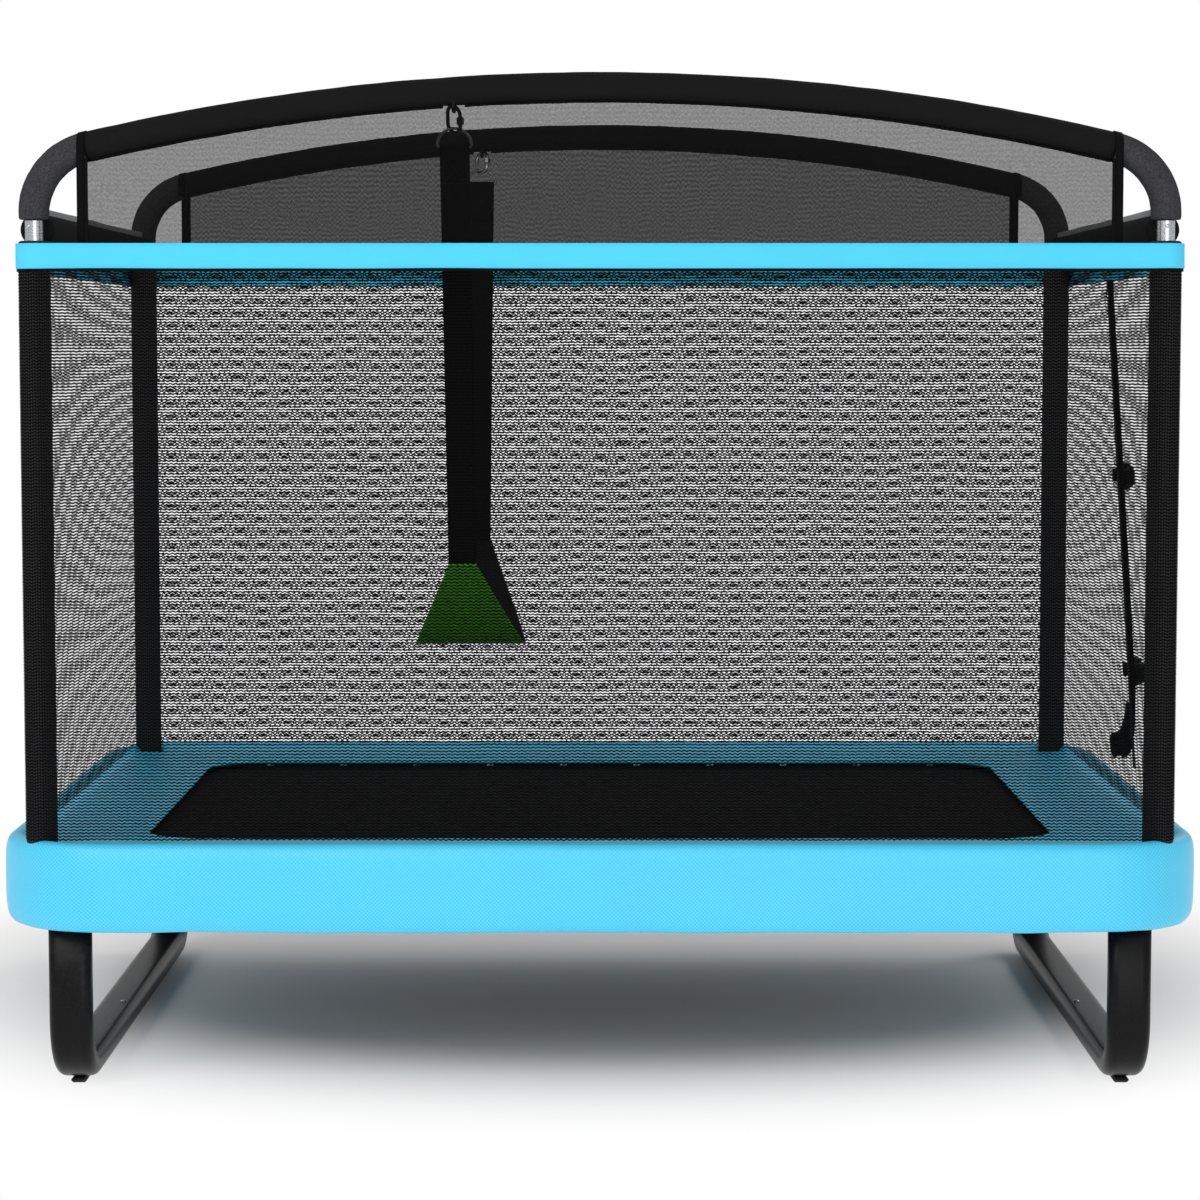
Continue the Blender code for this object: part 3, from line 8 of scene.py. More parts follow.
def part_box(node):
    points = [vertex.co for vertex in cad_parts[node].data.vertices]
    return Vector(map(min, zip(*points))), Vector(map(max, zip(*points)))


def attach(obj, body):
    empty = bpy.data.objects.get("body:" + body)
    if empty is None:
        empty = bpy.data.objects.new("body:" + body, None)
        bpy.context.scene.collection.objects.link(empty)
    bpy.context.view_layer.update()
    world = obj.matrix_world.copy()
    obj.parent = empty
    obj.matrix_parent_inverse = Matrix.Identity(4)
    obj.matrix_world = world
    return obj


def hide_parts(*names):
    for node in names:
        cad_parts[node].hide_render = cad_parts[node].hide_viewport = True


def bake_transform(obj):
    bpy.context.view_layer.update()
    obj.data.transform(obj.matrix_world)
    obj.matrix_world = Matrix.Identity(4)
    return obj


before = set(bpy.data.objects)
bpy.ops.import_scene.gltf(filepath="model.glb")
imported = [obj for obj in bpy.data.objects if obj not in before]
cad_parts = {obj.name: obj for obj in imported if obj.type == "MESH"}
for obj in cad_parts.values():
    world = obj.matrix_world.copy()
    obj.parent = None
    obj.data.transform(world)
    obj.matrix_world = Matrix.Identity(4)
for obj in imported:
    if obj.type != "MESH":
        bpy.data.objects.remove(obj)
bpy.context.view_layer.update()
SIDES = {"left": -1, "right": 1}
ENDS = {"front": -1, "back": 1}

# ---- frame ring ----
# Two bent halves of black powder-coated steel tube that plug together in the middle of the long
# sides. A socket for a post is welded outside each corner.


def layer(mesh, points_uv):
    """Gives a mesh its UVs, in metres."""
    made = mesh.uv_layers.new(name="metres")
    made.data.foreach_set("uv", np.asarray(points_uv, np.float32).ravel())


def skin(name, rings, finish, body="frame", along=False, across=True, caps=False, uv=None):
    """A surface over equal rings of points, with UVs in metres: U round a ring, V ring to ring.

    along joins the last ring to the first, across joins the two ends of each ring, and caps
    closes the first and last ring. uv gives the UVs instead, for each point.
    """
    grid = np.array([[tuple(p) for p in ring] for ring in rings], float)
    count, size = grid.shape[:2]
    row = np.arange(count + along)
    column = np.arange(size + across)
    i, j = [a.ravel() for a in np.meshgrid(row[:-1], column[:-1], indexing="ij")]
    corners = [(i, j), (i, j + 1), (i + 1, j + 1), (i + 1, j)]
    faces = np.stack([(a % count) * size + b % size for a, b in corners], axis=1)
    if uv is None:
        middle = grid[count // 2]
        steps = np.linalg.norm(np.roll(middle, -1, axis=0) - middle, axis=1)
        u = np.concatenate([[0.0], np.cumsum(steps)])[:len(column)]
        gaps = np.linalg.norm(np.roll(grid, -1, axis=0) - grid, axis=2).mean(axis=1)
        v = np.concatenate([[0.0], np.cumsum(gaps)])[:len(row)]
        values = np.stack([np.stack([u[b], v[a]], axis=1) for a, b in corners], axis=1)
    else:
        table = np.array(uv, float)
        values = np.stack([table[a % count, b % size] for a, b in corners], axis=1)
    values = values.reshape(-1, 2)
    polygons = faces.tolist()
    if caps:
        polygons += [list(range(size))[::-1], list(range((count - 1) * size, count * size))]
        values = np.concatenate([values, np.tile(values[:1], (2 * size, 1))])
    mesh = bpy.data.meshes.new(name)
    mesh.from_pydata(grid.reshape(-1, 3).tolist(), [], polygons)
    layer(mesh, values)
    mesh.shade_smooth()
    mesh.materials.append(finish)
    made = bpy.data.objects.new(name, mesh)
    bpy.context.scene.collection.objects.link(made)
    if body:
        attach(made, body)
    return made


def tube(name, path, radius, finish, body="frame", sides=20, loop=False, caps=True):
    """A round bar along a path; the radius is one number or one for each point."""
    points = [Vector(p) for p in path]
    radii = list(radius) if hasattr(radius, "__len__") else [radius] * len(points)
    last = len(points) - 1
    rings = []
    normal = None
    for k, point in enumerate(points):
        before = points[k - 1] if k or loop else point
        after = points[(k + 1) % len(points)] if k < last or loop else point
        direction = (after - before).normalized()
        if normal is None:
            normal = direction.orthogonal().normalized()
        normal = (normal - direction * normal.dot(direction)).normalized()
        second = direction.cross(normal)
        rings.append([point + (normal * math.cos(a) + second * math.sin(a)) * radii[k]
                      for a in (2 * math.pi * s / sides for s in range(sides))])
    return skin(name, rings, finish, body, along=loop, caps=caps and not loop)


def arc(middle, radius, start, end, steps):
    """Points (a, b) on an arc from one angle to another, in degrees, ends included."""
    angles = [math.radians(start + (end - start) * k / steps) for k in range(steps + 1)]
    return [(middle[0] + radius * math.cos(a), middle[1] + radius * math.sin(a)) for a in angles]


def joined(name, pieces):
    """The pieces as one object, which keeps the first one's place and body."""
    bpy.context.view_layer.update()
    with bpy.context.temp_override(active_object=pieces[0], selected_editable_objects=pieces):
        bpy.ops.object.join()
    pieces[0].name = name
    return pieces[0]


def pattern_group(name, inputs, outputs):
    """An empty node group with number inputs and named outputs."""
    made = bpy.data.node_groups.new(name, "ShaderNodeTree")
    for label, value in inputs.items():
        socket = made.interface.new_socket(label, in_out="INPUT", socket_type="NodeSocketFloat")
        socket.default_value = value
    for label in outputs:
        made.interface.new_socket(label, in_out="OUTPUT", socket_type="NodeSocketFloat")
    made.nodes.new("NodeGroupInput").name = "in"
    made.nodes.new("NodeGroupOutput").name = "out"
    return made


def math_node(tree, operation, *values):
    """A math node fed by sockets or numbers; returns its output."""
    made = tree.nodes.new("ShaderNodeMath")
    made.operation = operation
    for socket, value in zip(made.inputs, values):
        if hasattr(value, "is_linked"):
            tree.links.new(value, socket)
        else:
            socket.default_value = value
    return made.outputs[0]


def noise_node(tree, scale, detail=3.0, roughness=0.5, space="Object"):
    """Noise in object space; returns its value."""
    place = tree.nodes.new("ShaderNodeTexCoord")
    made = tree.nodes.new("ShaderNodeTexNoise")
    made.inputs["Detail"].default_value = detail
    made.inputs["Roughness"].default_value = roughness
    tree.links.new(place.outputs[space], made.inputs["Vector"])
    if hasattr(scale, "is_linked"):
        tree.links.new(scale, made.inputs["Scale"])
    else:
        made.inputs["Scale"].default_value = scale
    return made.outputs[0]


def eased(tree, value, low, high):
    """0 below low, 1 above high and smooth between them."""
    made = tree.nodes.new("ShaderNodeMapRange")
    made.interpolation_type = "SMOOTHSTEP"
    made.inputs["From Min"].default_value = low
    made.inputs["From Max"].default_value = high
    tree.links.new(value, made.inputs["Value"])
    return made.outputs[0]


grain = pattern_group("fine_grain", {"Scale": 900.0}, ["Height", "Shade"])
fine = noise_node(grain, grain.nodes["in"].outputs["Scale"], 4.0, 0.6)
grain.links.new(fine, grain.nodes["out"].inputs["Height"])
grain.links.new(eased(grain, fine, 0.42, 0.62), grain.nodes["out"].inputs["Shade"])

wear = pattern_group("edge_wear", {"Amount": 0.5}, ["Mask"])
shape = wear.nodes.new("ShaderNodeNewGeometry")
edges = eased(wear, shape.outputs["Pointiness"], 0.53, 0.60)
rubbed = eased(wear, noise_node(wear, 60.0, 5.0, 0.7), 0.48, 0.62)
worn = math_node(wear, "MULTIPLY", math_node(wear, "MULTIPLY", edges, rubbed),
                 wear.nodes["in"].outputs["Amount"])
wear.links.new(worn, wear.nodes["out"].inputs["Mask"])

mottle = pattern_group("soft_mottle", {"Scale": 6.0, "Amount": 0.1}, ["Factor"])
cloud = noise_node(mottle, mottle.nodes["in"].outputs["Scale"], 5.0, 0.55)
swing_of = math_node(mottle, "MULTIPLY", math_node(mottle, "SUBTRACT", cloud, 0.5),
                     mottle.nodes["in"].outputs["Amount"])
mottle.links.new(math_node(mottle, "ADD", swing_of, 1.0), mottle.nodes["out"].inputs["Factor"])


def use(tree, group, **values):
    """A node group placed in a material with its own values."""
    made = tree.nodes.new("ShaderNodeGroup")
    made.node_tree = group
    for label, value in values.items():
        made.inputs[label].default_value = value
    return made


def mixed(tree, share, first, second, blend="MIX"):
    """Two colours mixed by a share; returns the colour."""
    made = tree.nodes.new("ShaderNodeMix")
    made.data_type = "RGBA"
    made.blend_type = blend
    for socket, value in (("Factor_Float", share), ("A_Color", first), ("B_Color", second)):
        socket = next(s for s in made.inputs if s.identifier == socket)
        if hasattr(value, "is_linked"):
            tree.links.new(value, socket)
        else:
            socket.default_value = (*value, 1.0) if hasattr(value, "__len__") else value
    return next(s for s in made.outputs if s.identifier == "Result_Color")


def surface(name, base, second, rough, pattern, values, depth, metallic=0.0, mottled=0.25,
            worn_to=None, worn_amount=0.6, shine=0.12):
    """A finish from a pattern group: two tones, two roughnesses and a bump of a depth."""
    made = bpy.data.materials.new(name)
    made.use_nodes = True
    tree = made.node_tree
    shader = tree.nodes["Principled BSDF"]
    shader.inputs["Metallic"].default_value = metallic
    shader.inputs["Specular IOR Level"].default_value = shine
    look = use(tree, pattern, **values)
    tone = mixed(tree, look.outputs["Shade"], base, second)
    cloudy = use(tree, mottle, Amount=mottled)
    grey = tree.nodes.new("ShaderNodeCombineColor")
    for socket in grey.inputs:
        tree.links.new(cloudy.outputs["Factor"], socket)
    tone = mixed(tree, 1.0, tone, grey.outputs[0], "MULTIPLY")
    if worn_to:
        mask = use(tree, wear, Amount=worn_amount)
        tone = mixed(tree, mask.outputs["Mask"], tone, worn_to)
    tree.links.new(tone, shader.inputs["Base Color"])
    level = tree.nodes.new("ShaderNodeMapRange")
    level.inputs["To Min"].default_value, level.inputs["To Max"].default_value = rough
    tree.links.new(look.outputs["Shade"], level.inputs["Value"])
    tree.links.new(level.outputs[0], shader.inputs["Roughness"])
    bump = tree.nodes.new("ShaderNodeBump")
    bump.inputs["Distance"].default_value = depth
    tree.links.new(look.outputs["Height"], bump.inputs["Height"])
    tree.links.new(bump.outputs[0], shader.inputs["Normal"])
    if "Alpha" in look.outputs:
        tree.links.new(look.outputs["Alpha"], shader.inputs["Alpha"])
    return made


powder_coat = surface("black_powder_coat", (0.0035, 0.0035, 0.0040), (0.0075, 0.0075, 0.0082),
                      (0.26, 0.38), grain, {"Scale": 900.0}, 0.00016, mottled=0.25,
                      worn_to=(0.04, 0.04, 0.04), shine=0.12)

RING_RADIUS = 0.019
RING_HEIGHT = 0.357
RING_CORNER = 0.14
SOCKET_RADIUS = 0.0185
PLUG_SPLIT = 0.0003
post_low, post_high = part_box("post_front_right")
POST_X = (post_low.x + post_high.x) / 2
POST_Y = -(post_low.y + post_high.y) / 2
RING_HALF_LENGTH = 0.895
RING_HALF_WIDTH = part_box("frame_half_right")[1].y - RING_RADIUS


def weld_bead(name, sx, sy, turn):
    """A ripple of weld down the line where a socket meets the ring."""
    along = math.radians(45 + turn)
    foot = Vector((sx * (POST_X - (SOCKET_RADIUS + 0.001) * math.cos(along)),
                   sy * (POST_Y - (SOCKET_RADIUS + 0.001) * math.sin(along)), 0.0))
    path = [foot + Vector((0, 0, z)) for z in np.linspace(0.3385, RING_HEIGHT + 0.018, 26)]
    radii = [0.0028 + 0.0007 * math.sin(2.4 * k) for k in range(26)]
    return tube(name, path, radii, powder_coat, sides=8)


for side, sx in SIDES.items():
    middle = (RING_HALF_LENGTH - RING_CORNER, RING_HALF_WIDTH - RING_CORNER)
    corner = arc(middle, RING_CORNER, 90, 0, 14)
    back = [(PLUG_SPLIT, RING_HALF_WIDTH), (0.2, RING_HALF_WIDTH), (0.5, RING_HALF_WIDTH)] + corner
    outline = back + [(x, -y) for x, y in reversed(back)]
    pieces = [tube("ring", [(sx * x, y, RING_HEIGHT) for x, y in outline], RING_RADIUS,
                   powder_coat, sides=32)]
    for end, sy in ENDS.items():
        low, high = 0.338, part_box("frame_half_right")[1].z
        rim = [(low, 0.0170), (low, SOCKET_RADIUS), (high - 0.0008, SOCKET_RADIUS),
               (high, SOCKET_RADIUS - 0.0008), (high, 0.0144), (high - 0.012, 0.0143)]
        pieces.append(tube("socket", [(sx * POST_X, sy * POST_Y, z + 1e-5 * k)
                                      for k, (z, _) in enumerate(rim)],
                           [r for _, r in rim], powder_coat, sides=28))
        for turn in (-38, 38):
            pieces.append(weld_bead("bead", sx, sy, turn))
    half = joined(f"ring_{side}", pieces)
    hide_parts(f"frame_half_{side}")

# ---- legs ----
# Each leg is one length of rounded rectangular steel tube bent to a U, black powder coat. Its two
# ends push over stubs under the ring, and it stands on two small plastic feet.

LEG_WIDTH = 0.068
LEG_DEPTH = 0.040
LEG_ROUND = 0.016
LEG_BEND = 0.090
leg_low, leg_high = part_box("leg_right")
LEG_X = (leg_low.x + leg_high.x) / 2


def rounded(half_x, half_y, radius, steps, straight=1):
    """A closed outline of a rounded rectangle, with its straight runs divided."""
    outline = []
    for start, (sx, sy) in zip((0, 90, 180, 270), ((1, 1), (-1, 1), (-1, -1), (1, -1))):
        outline += arc((sx * (half_x - radius), sy * (half_y - radius)), radius, start,
                       start + 90, steps)
    if straight == 1:
        return outline
    dense = []
    for k, (x, y) in enumerate(outline):
        dense.append((x, y))
        if k % (steps + 1) == steps:
            nx, ny = outline[(k + 1) % len(outline)]
            dense += [(x + (nx - x) * s / straight, y + (ny - y) * s / straight)
                      for s in range(1, straight)]
    return dense


for side, sx in SIDES.items():
    reach = leg_high.y - LEG_DEPTH / 2
    rail_z = leg_low.z + LEG_DEPTH / 2
    bend_y, bend_z = reach - LEG_BEND, rail_z + LEG_BEND
    line = [(-reach, leg_high.z)] + arc((-bend_y, bend_z), LEG_BEND, 180, 270, 12)
    line += arc((bend_y, bend_z), LEG_BEND, 270, 360, 12) + [(reach, leg_high.z)]
    section = rounded(LEG_WIDTH / 2, LEG_DEPTH / 2, LEG_ROUND, 6)
    rings = []
    for k, (y, z) in enumerate(line):
        before, after = line[max(k - 1, 0)], line[min(k + 1, len(line) - 1)]
        way = Vector((after[0] - before[0], after[1] - before[1])).normalized()
        rings.append([(sx * (LEG_X + a), y - way.y * b, z + way.x * b) for a, b in section])
    leg = skin(f"u_leg_{side}", rings, powder_coat, caps=True)
    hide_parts(f"leg_{side}")

moulded = surface("black_moulded_plastic", (0.013, 0.013, 0.014), (0.019, 0.019, 0.020),
                  (0.42, 0.55), grain, {"Scale": 2600.0}, 0.00006, mottled=0.15,
                  worn_to=(0.07, 0.07, 0.07))
for end in ENDS:
    for side in SIDES:
        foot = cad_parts[f"foot_{end}_{side}"]
        foot.data.materials.clear()
        foot.data.materials.append(moulded)
        softened = foot.modifiers.new("softened", "BEVEL")
        softened.width = 0.0012
        softened.segments = 3

# ---- rail screws ----
# A zinc-plated pan-head screw with a cross recess goes into the top of each leg's rail and holds
# the ballast strap in use.


def applied(piece):
    """Makes a piece's modifiers part of its mesh, for good."""
    bpy.context.view_layer.update()
    shown = piece.evaluated_get(bpy.context.evaluated_depsgraph_get())
    mesh = bpy.data.meshes.new_from_object(shown)
    piece.modifiers.clear()
    piece.data = mesh


def cut_away(piece, *cutters):
    """Cuts closed shapes out of a piece, for good, and removes them."""
    for cutter in cutters:
        change = piece.modifiers.new("cut", "BOOLEAN")
        change.solver = "EXACT"
        change.object = cutter
    applied(piece)
    for cutter in cutters:
        bpy.data.objects.remove(cutter, do_unlink=True)


def block(name, low, high, finish, body="frame", bevel=0.0, segments=3, turn=None):
    """A box with rounded edges, turned by a matrix about the origin when one is given."""
    x, y, z = (Vector(high) - Vector(low)) / 2
    middle = (Vector(high) + Vector(low)) / 2
    rings = [[(sx * x, sy * y, sz * z) for sx, sy in ((-1, -1), (1, -1), (1, 1), (-1, 1))]
             for sz in (-1, 1)]
    made = skin(name, rings, finish, None, caps=True)
    made.data.transform(Matrix.Translation(middle))
    if turn is not None:
        made.data.transform(turn)
    made.data.set_sharp_from_angle(angle=math.radians(35))
    if bevel:
        edge = made.modifiers.new("rounded", "BEVEL")
        edge.width = bevel
        edge.segments = segments
        edge.limit_method = "ANGLE"
        applied(made)
    if body:
        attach(made, body)
    return made


zinc = surface("bright_zinc", (0.55, 0.56, 0.58), (0.66, 0.67, 0.69), (0.20, 0.28), grain,
               {"Scale": 500.0}, 0.00001, metallic=1.0, mottled=0.06, shine=0.5)

for side, sx in SIDES.items():
    low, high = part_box(f"rail_screw_{side}")
    x, y = (low.x + high.x) / 2, (low.y + high.y) / 2
    base = high.z - 0.0020
    dome = [(base, 0.0050), (base, 0.0055), (base + 0.0009, 0.0053), (base + 0.0016, 0.0042),
            (base + 0.0020, 0.0024), (base + 0.00205, 0.0004)]
    head = tube(f"cross_screw_{side}", [(x, y, z + 1e-6 * k) for k, (z, _) in enumerate(dome)],
                [r for _, r in dome], zinc, sides=28)
    slots = [block("slot", (x - a, y - b, base + 0.0009), (x + a, y + b, base + 0.01), zinc, None)
             for a, b in ((0.0030, 0.0005), (0.0005, 0.0030))]
    cut_away(head, *slots)
    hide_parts(f"rail_screw_{side}")

# ---- mat ----
# Black woven polypropylene, drawn tight, with a hem of wide webbing sewn round its edge on both
# faces and small wire triangles under the hem for the springs.


def cloth(name, place, rows, columns, finish, body="frame", uv=None):
    """An open surface of place(s, t), with s and t from 0 to 1."""
    rings = [[place(s, t) for s in np.linspace(0, 1, columns + 1)]
             for t in np.linspace(0, 1, rows + 1)]
    return skin(name, rings, finish, body, across=False, uv=uv)


def thickened(piece, thickness, offset=0.0):
    """Gives a surface a thickness, for good."""
    shell = piece.modifiers.new("shell", "SOLIDIFY")
    shell.thickness = thickness
    shell.offset = offset
    applied(piece)
    return piece


def metres(tree):
    """The two UVs of a piece, in metres."""
    place = tree.nodes.new("ShaderNodeUVMap")
    place.uv_map = "metres"
    parts = tree.nodes.new("ShaderNodeSeparateXYZ")
    tree.links.new(place.outputs[0], parts.inputs[0])
    return parts.outputs[0], parts.outputs[1]


def scaled(tree, coordinate, period, shift=0.0):
    """A cosine of a coordinate whose period is a socket."""
    rate = math_node(tree, "DIVIDE", 2 * math.pi, period)
    return math_node(tree, "COSINE", math_node(tree, "MULTIPLY_ADD", coordinate, rate, shift))


weave = pattern_group("woven_threads", {"Across": 0.0012, "Along": 0.0012}, ["Height", "Shade"])
u, v = metres(weave)
warp = scaled(weave, u, weave.nodes["in"].outputs["Across"])
weft = scaled(weave, v, weave.nodes["in"].outputs["Along"], math.pi / 2)
crossing = math_node(weave, "MULTIPLY", warp, weft)
over = math_node(weave, "MULTIPLY_ADD", crossing, 0.5, 0.5)
ragged = math_node(weave, "MULTIPLY_ADD", noise_node(weave, 700.0, 2.0), 0.35, over)
weave.links.new(ragged, weave.nodes["out"].inputs["Height"])
weave.links.new(eased(weave, ragged, 0.25, 0.95), weave.nodes["out"].inputs["Shade"])

mat_fabric = surface("black_mat_weave", (0.0028, 0.0028, 0.0031), (0.0070, 0.0070, 0.0075),
                     (0.65, 0.8), weave, {"Across": 0.0034, "Along": 0.0034}, 0.0004,
                     mottled=0.3, shine=0.05)
webbing = surface("black_webbing", (0.0020, 0.0020, 0.0022), (0.0060, 0.0060, 0.0064),
                  (0.7, 0.85), weave, {"Across": 0.0018, "Along": 0.0030}, 0.0005,
                  mottled=0.2, shine=0.05)

mat_low, mat_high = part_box("mat")
MAT_X, MAT_Y, MAT_TOP = mat_high.x, mat_high.y, mat_high.z
MAT_ROUND = 0.05
MAT_MIDDLE = (mat_low.z + mat_high.z) / 2
mat_edge = rounded(MAT_X, MAT_Y, MAT_ROUND, 8, straight=10)


def ring_of(outline, share, height):
    return [(x * share, y * share, height) for x, y in outline]


shares = [0.02, 0.25, 0.5, 0.75, 0.93, 1.0]
flat_uv = [[(x * s, y * s) for x, y in mat_edge] for s in shares]
mat_piece = skin("mat_sheet", [ring_of(mat_edge, s, MAT_MIDDLE) for s in shares], mat_fabric,
                 None, uv=flat_uv)
hub = mat_piece.data
work = bpy.data.meshes.new("mat_sheet")
middle_rim = list(range(len(mat_edge)))
polygons = [list(f.vertices) for f in hub.polygons] + [middle_rim[::-1]]
flat_values = [flat_uv[k // len(mat_edge)][k % len(mat_edge)] for f in polygons for k in f]
work.from_pydata([tuple(p.co) for p in hub.vertices], [], polygons)
layer(work, flat_values)
work.shade_smooth()
work.materials.append(mat_fabric)
mat_piece.data = work
thickened(mat_piece, 0.0012)
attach(mat_piece, "mat")
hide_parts("mat")

hem_outer = rounded(MAT_X, MAT_Y, MAT_ROUND, 8, straight=30)
hem_inner = rounded(MAT_X - 0.030, MAT_Y - 0.030, MAT_ROUND - 0.025, 8, straight=30)
hem_rings = []
for share, height in ((0.0, MAT_MIDDLE + 0.0007), (0.02, MAT_TOP - 0.0002), (0.5, MAT_TOP),
                      (0.98, MAT_TOP - 0.0001), (1.0, MAT_MIDDLE), (0.98, mat_low.z + 0.0001),
                      (0.5, mat_low.z), (0.02, mat_low.z + 0.0002), (0.0, MAT_MIDDLE - 0.0007)):
    hem_rings.append([(a[0] + (b[0] - a[0]) * share, a[1] + (b[1] - a[1]) * share, height)
                      for a, b in zip(hem_inner, hem_outer)])
mat_hem = skin("mat_hem", hem_rings, webbing, "mat")

# ---- springs ----
# Galvanised coil springs, ten along each long side and seven along each end. A hook at the outer
# end goes into the ring and one at the inner end into a wire triangle sewn under the mat's hem.

SPRING_COIL_RADIUS = 0.0055
SPRING_WIRE_RADIUS = 0.0011
SPRING_PITCH = 0.142
SPRING_COILS = 16
RING_TOP_POINT = RING_HEIGHT + 0.0125


def spring_line(start, end):
    """Points and radii of one spring wire from its hook on the ring to its hook on the mat."""
    start, end = Vector(start), Vector(end)
    axis = (end - start).normalized()
    side = axis.cross(Vector((0, 0, 1))).normalized()
    upward = side.cross(axis)
    length = (end - start).length
    points = [start - upward * 0.010 - axis * 0.001, start - upward * 0.004 - axis * 0.004,
              start + axis * 0.002]
    first, last = 0.012, length - 0.010
    for k in range(SPRING_COILS * 10 + 1):
        share = k / (SPRING_COILS * 10)
        turn = 2 * math.pi * SPRING_COILS * share
        grown = min(1.0, 8 * share, 8 * (1 - share))
        reach = SPRING_COIL_RADIUS * grown
        points.append(start + axis * (first + (last - first) * share)
                      + side * reach * math.sin(turn) + upward * reach * math.cos(turn))
    points += [end - axis * 0.004, end + axis * 0.003 - upward * 0.003, end - upward * 0.006]
    return points


def spring_row(name, count, across, sign, along_x):
    """The springs of one side, with the wire triangles at the hem."""
    pieces, rings = [], []
    for k in range(count):
        along = (k - (count - 1) / 2) * SPRING_PITCH
        outer, inner = across + 0.0775, across + 0.010
        spots = [(along, sign * outer), (along, sign * inner)]
        a, b = [p if along_x else (p[1], p[0]) for p in spots]
        path = spring_line((*a, RING_TOP_POINT), (*b, MAT_MIDDLE - 0.0005))
        pieces.append(tube("spring", path, SPRING_WIRE_RADIUS, zinc, None, sides=6))
        corners = [(-0.013, -0.012), (0.013, -0.012), (0.0135, -0.009), (0.002, 0.0105),
                   (0.0, 0.0118), (-0.002, 0.0105), (-0.0135, -0.009)]
        loop = [(along + s, sign * (across + t)) for s, t in corners]
        loop = [p if along_x else (p[1], p[0]) for p in loop]
        rings.append(tube("triangle", [(*p, mat_low.z - 0.0016) for p in loop], 0.0012, zinc,
                          "mat", sides=6, loop=True))
    row = joined(name, pieces)
    triangles = joined(name.replace("springs", "triangles"), rings)
    if along_x:
        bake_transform(row)
    else:
        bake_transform(row)
    return row


for end, sy in ENDS.items():
    spring_row(f"springs_{end}", 10, MAT_Y, sy, True)
for side, sx in SIDES.items():
    row = spring_row(f"springs_{side}", 7, MAT_X, sx, False)
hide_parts("mat_springs")

# ---- pad ----
# A cyan coated-fabric cover over foam, laid on the ring and springs. Its outer edge swells to a
# rim and hangs over the ring as a stuffed skirt; the posts pass through it.


def smooth_through(points, steps):
    """A closed Catmull-Rom curve through points, with a number of steps between each pair."""
    given = np.array(points, float)
    curve = []
    for k in range(len(given)):
        a, b, c, d = (given[(k + s) % len(given)] for s in (-1, 0, 1, 2))
        for t in np.arange(steps) / steps:
            curve.append(0.5 * (2 * b + (c - a) * t + (2 * a - 5 * b + 4 * c - d) * t * t
                                + (3 * b - 3 * c + d - a) * t ** 3))
    return np.array(curve)


PAD_HALF_LENGTH, PAD_HALF_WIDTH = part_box("safety_pad")[1].xy
PAD_ROUND = 0.175
PAD_INNER = (0.739, 0.498)
PAD_INNER_ROUND = 0.10
PAD_OUTSIDE = (               # inset from the outer edge, height: up the inside and down the face
    (0.0180, 0.345), (0.0182, 0.310), (0.0190, 0.282), (0.0180, 0.2700), (0.0145, 0.2665),
    (0.0095, 0.2685), (0.0050, 0.2750), (0.0022, 0.284), (0.0008, 0.297), (0.0003, 0.315),
    (0.0002, 0.345), (0.0006, 0.372), (0.0020, 0.3860), (0.0050, 0.3965), (0.0105, 0.4030),
    (0.0185, 0.4058), (0.0265, 0.4045), (0.0340, 0.3995), (0.0430, 0.3960), (0.0600, 0.3948))
PAD_INSIDE = (                # offset from the inner edge, height: in along the top, back below
    (0.050, 0.3940), (0.030, 0.3930), (0.012, 0.3912), (0.0035, 0.3890), (0.0, 0.3860),
    (0.0030, 0.3828), (0.012, 0.3815), (0.050, 0.3813))
PAD_UNDER = ((0.085, 0.3800), (0.040, 0.3775), (0.020, 0.3740), (0.0155, 0.3640))

profile = [(0, a, z) for a, z in PAD_OUTSIDE] + [(1, a, z) for a, z in PAD_INSIDE]
profile += [(0, a, z) for a, z in PAD_UNDER]
stations = []
for kind, inset, height in profile:
    if kind:
        half_x, half_y, radius = PAD_INNER[0], PAD_INNER[1], PAD_INNER_ROUND
        inset = -inset
    else:
        half_x, half_y, radius = PAD_HALF_LENGTH, PAD_HALF_WIDTH, PAD_ROUND
    outline = rounded(half_x - inset, half_y - inset, radius - inset, 12, straight=56)
    stations.append([(x, y, height) for x, y in outline])
section = np.array(stations)
rings = smooth_through(section.reshape(len(stations), -1), 3).reshape(3 * len(stations), -1, 3)

coated = surface("cyan_pad_cover", (0.046, 0.500, 0.800), (0.072, 0.660, 0.960), (0.30, 0.42),
                 weave, {"Across": 0.0062, "Along": 0.0062}, 0.00050, mottled=0.06, shine=0.6)
pad = skin("pad_cover", rings, coated, None, along=True)
bpy.context.view_layer.update()
for vertex in pad.data.vertices:
    p = vertex.co
    hanging = min(max((0.40 - p.z) / 0.13, 0.0), 1.0) if p.z < 0.3999 else 0.0
    outside = abs(p.x) > PAD_HALF_LENGTH - 0.03 or abs(p.y) > PAD_HALF_WIDTH - 0.03
    folds = noise.noise(Vector((p.x * 11, p.y * 11, p.z * 3))) * 0.0013
    folds += noise.noise(Vector((p.x * 34, p.y * 34, p.z * 9 + 4))) * 0.0004
    swell = noise.noise(Vector((p.x * 5, p.y * 5, 2.0))) * 0.0011
    vertex.co = p + vertex.normal * (folds * (0.35 + hanging) + swell * (not hanging))
    if outside:
        vertex.co.z += noise.noise(Vector((p.x * 4, p.y * 4, 7.0))) * 0.0018 * hanging
slits = [tube("slit", [(sx * (POST_X - 0.0045), sy * (POST_Y - 0.0045), z)
                       for z in (0.327, 0.43)], 0.0245, coated, None, sides=40)
         for sx in SIDES.values() for sy in ENDS.values()]
cut_away(pad, *slits)
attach(pad, "frame")
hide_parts("safety_pad")

# ---- posts ----
# Galvanised tubes, each in a sleeve of ribbed grey foam between the pad and the top band.

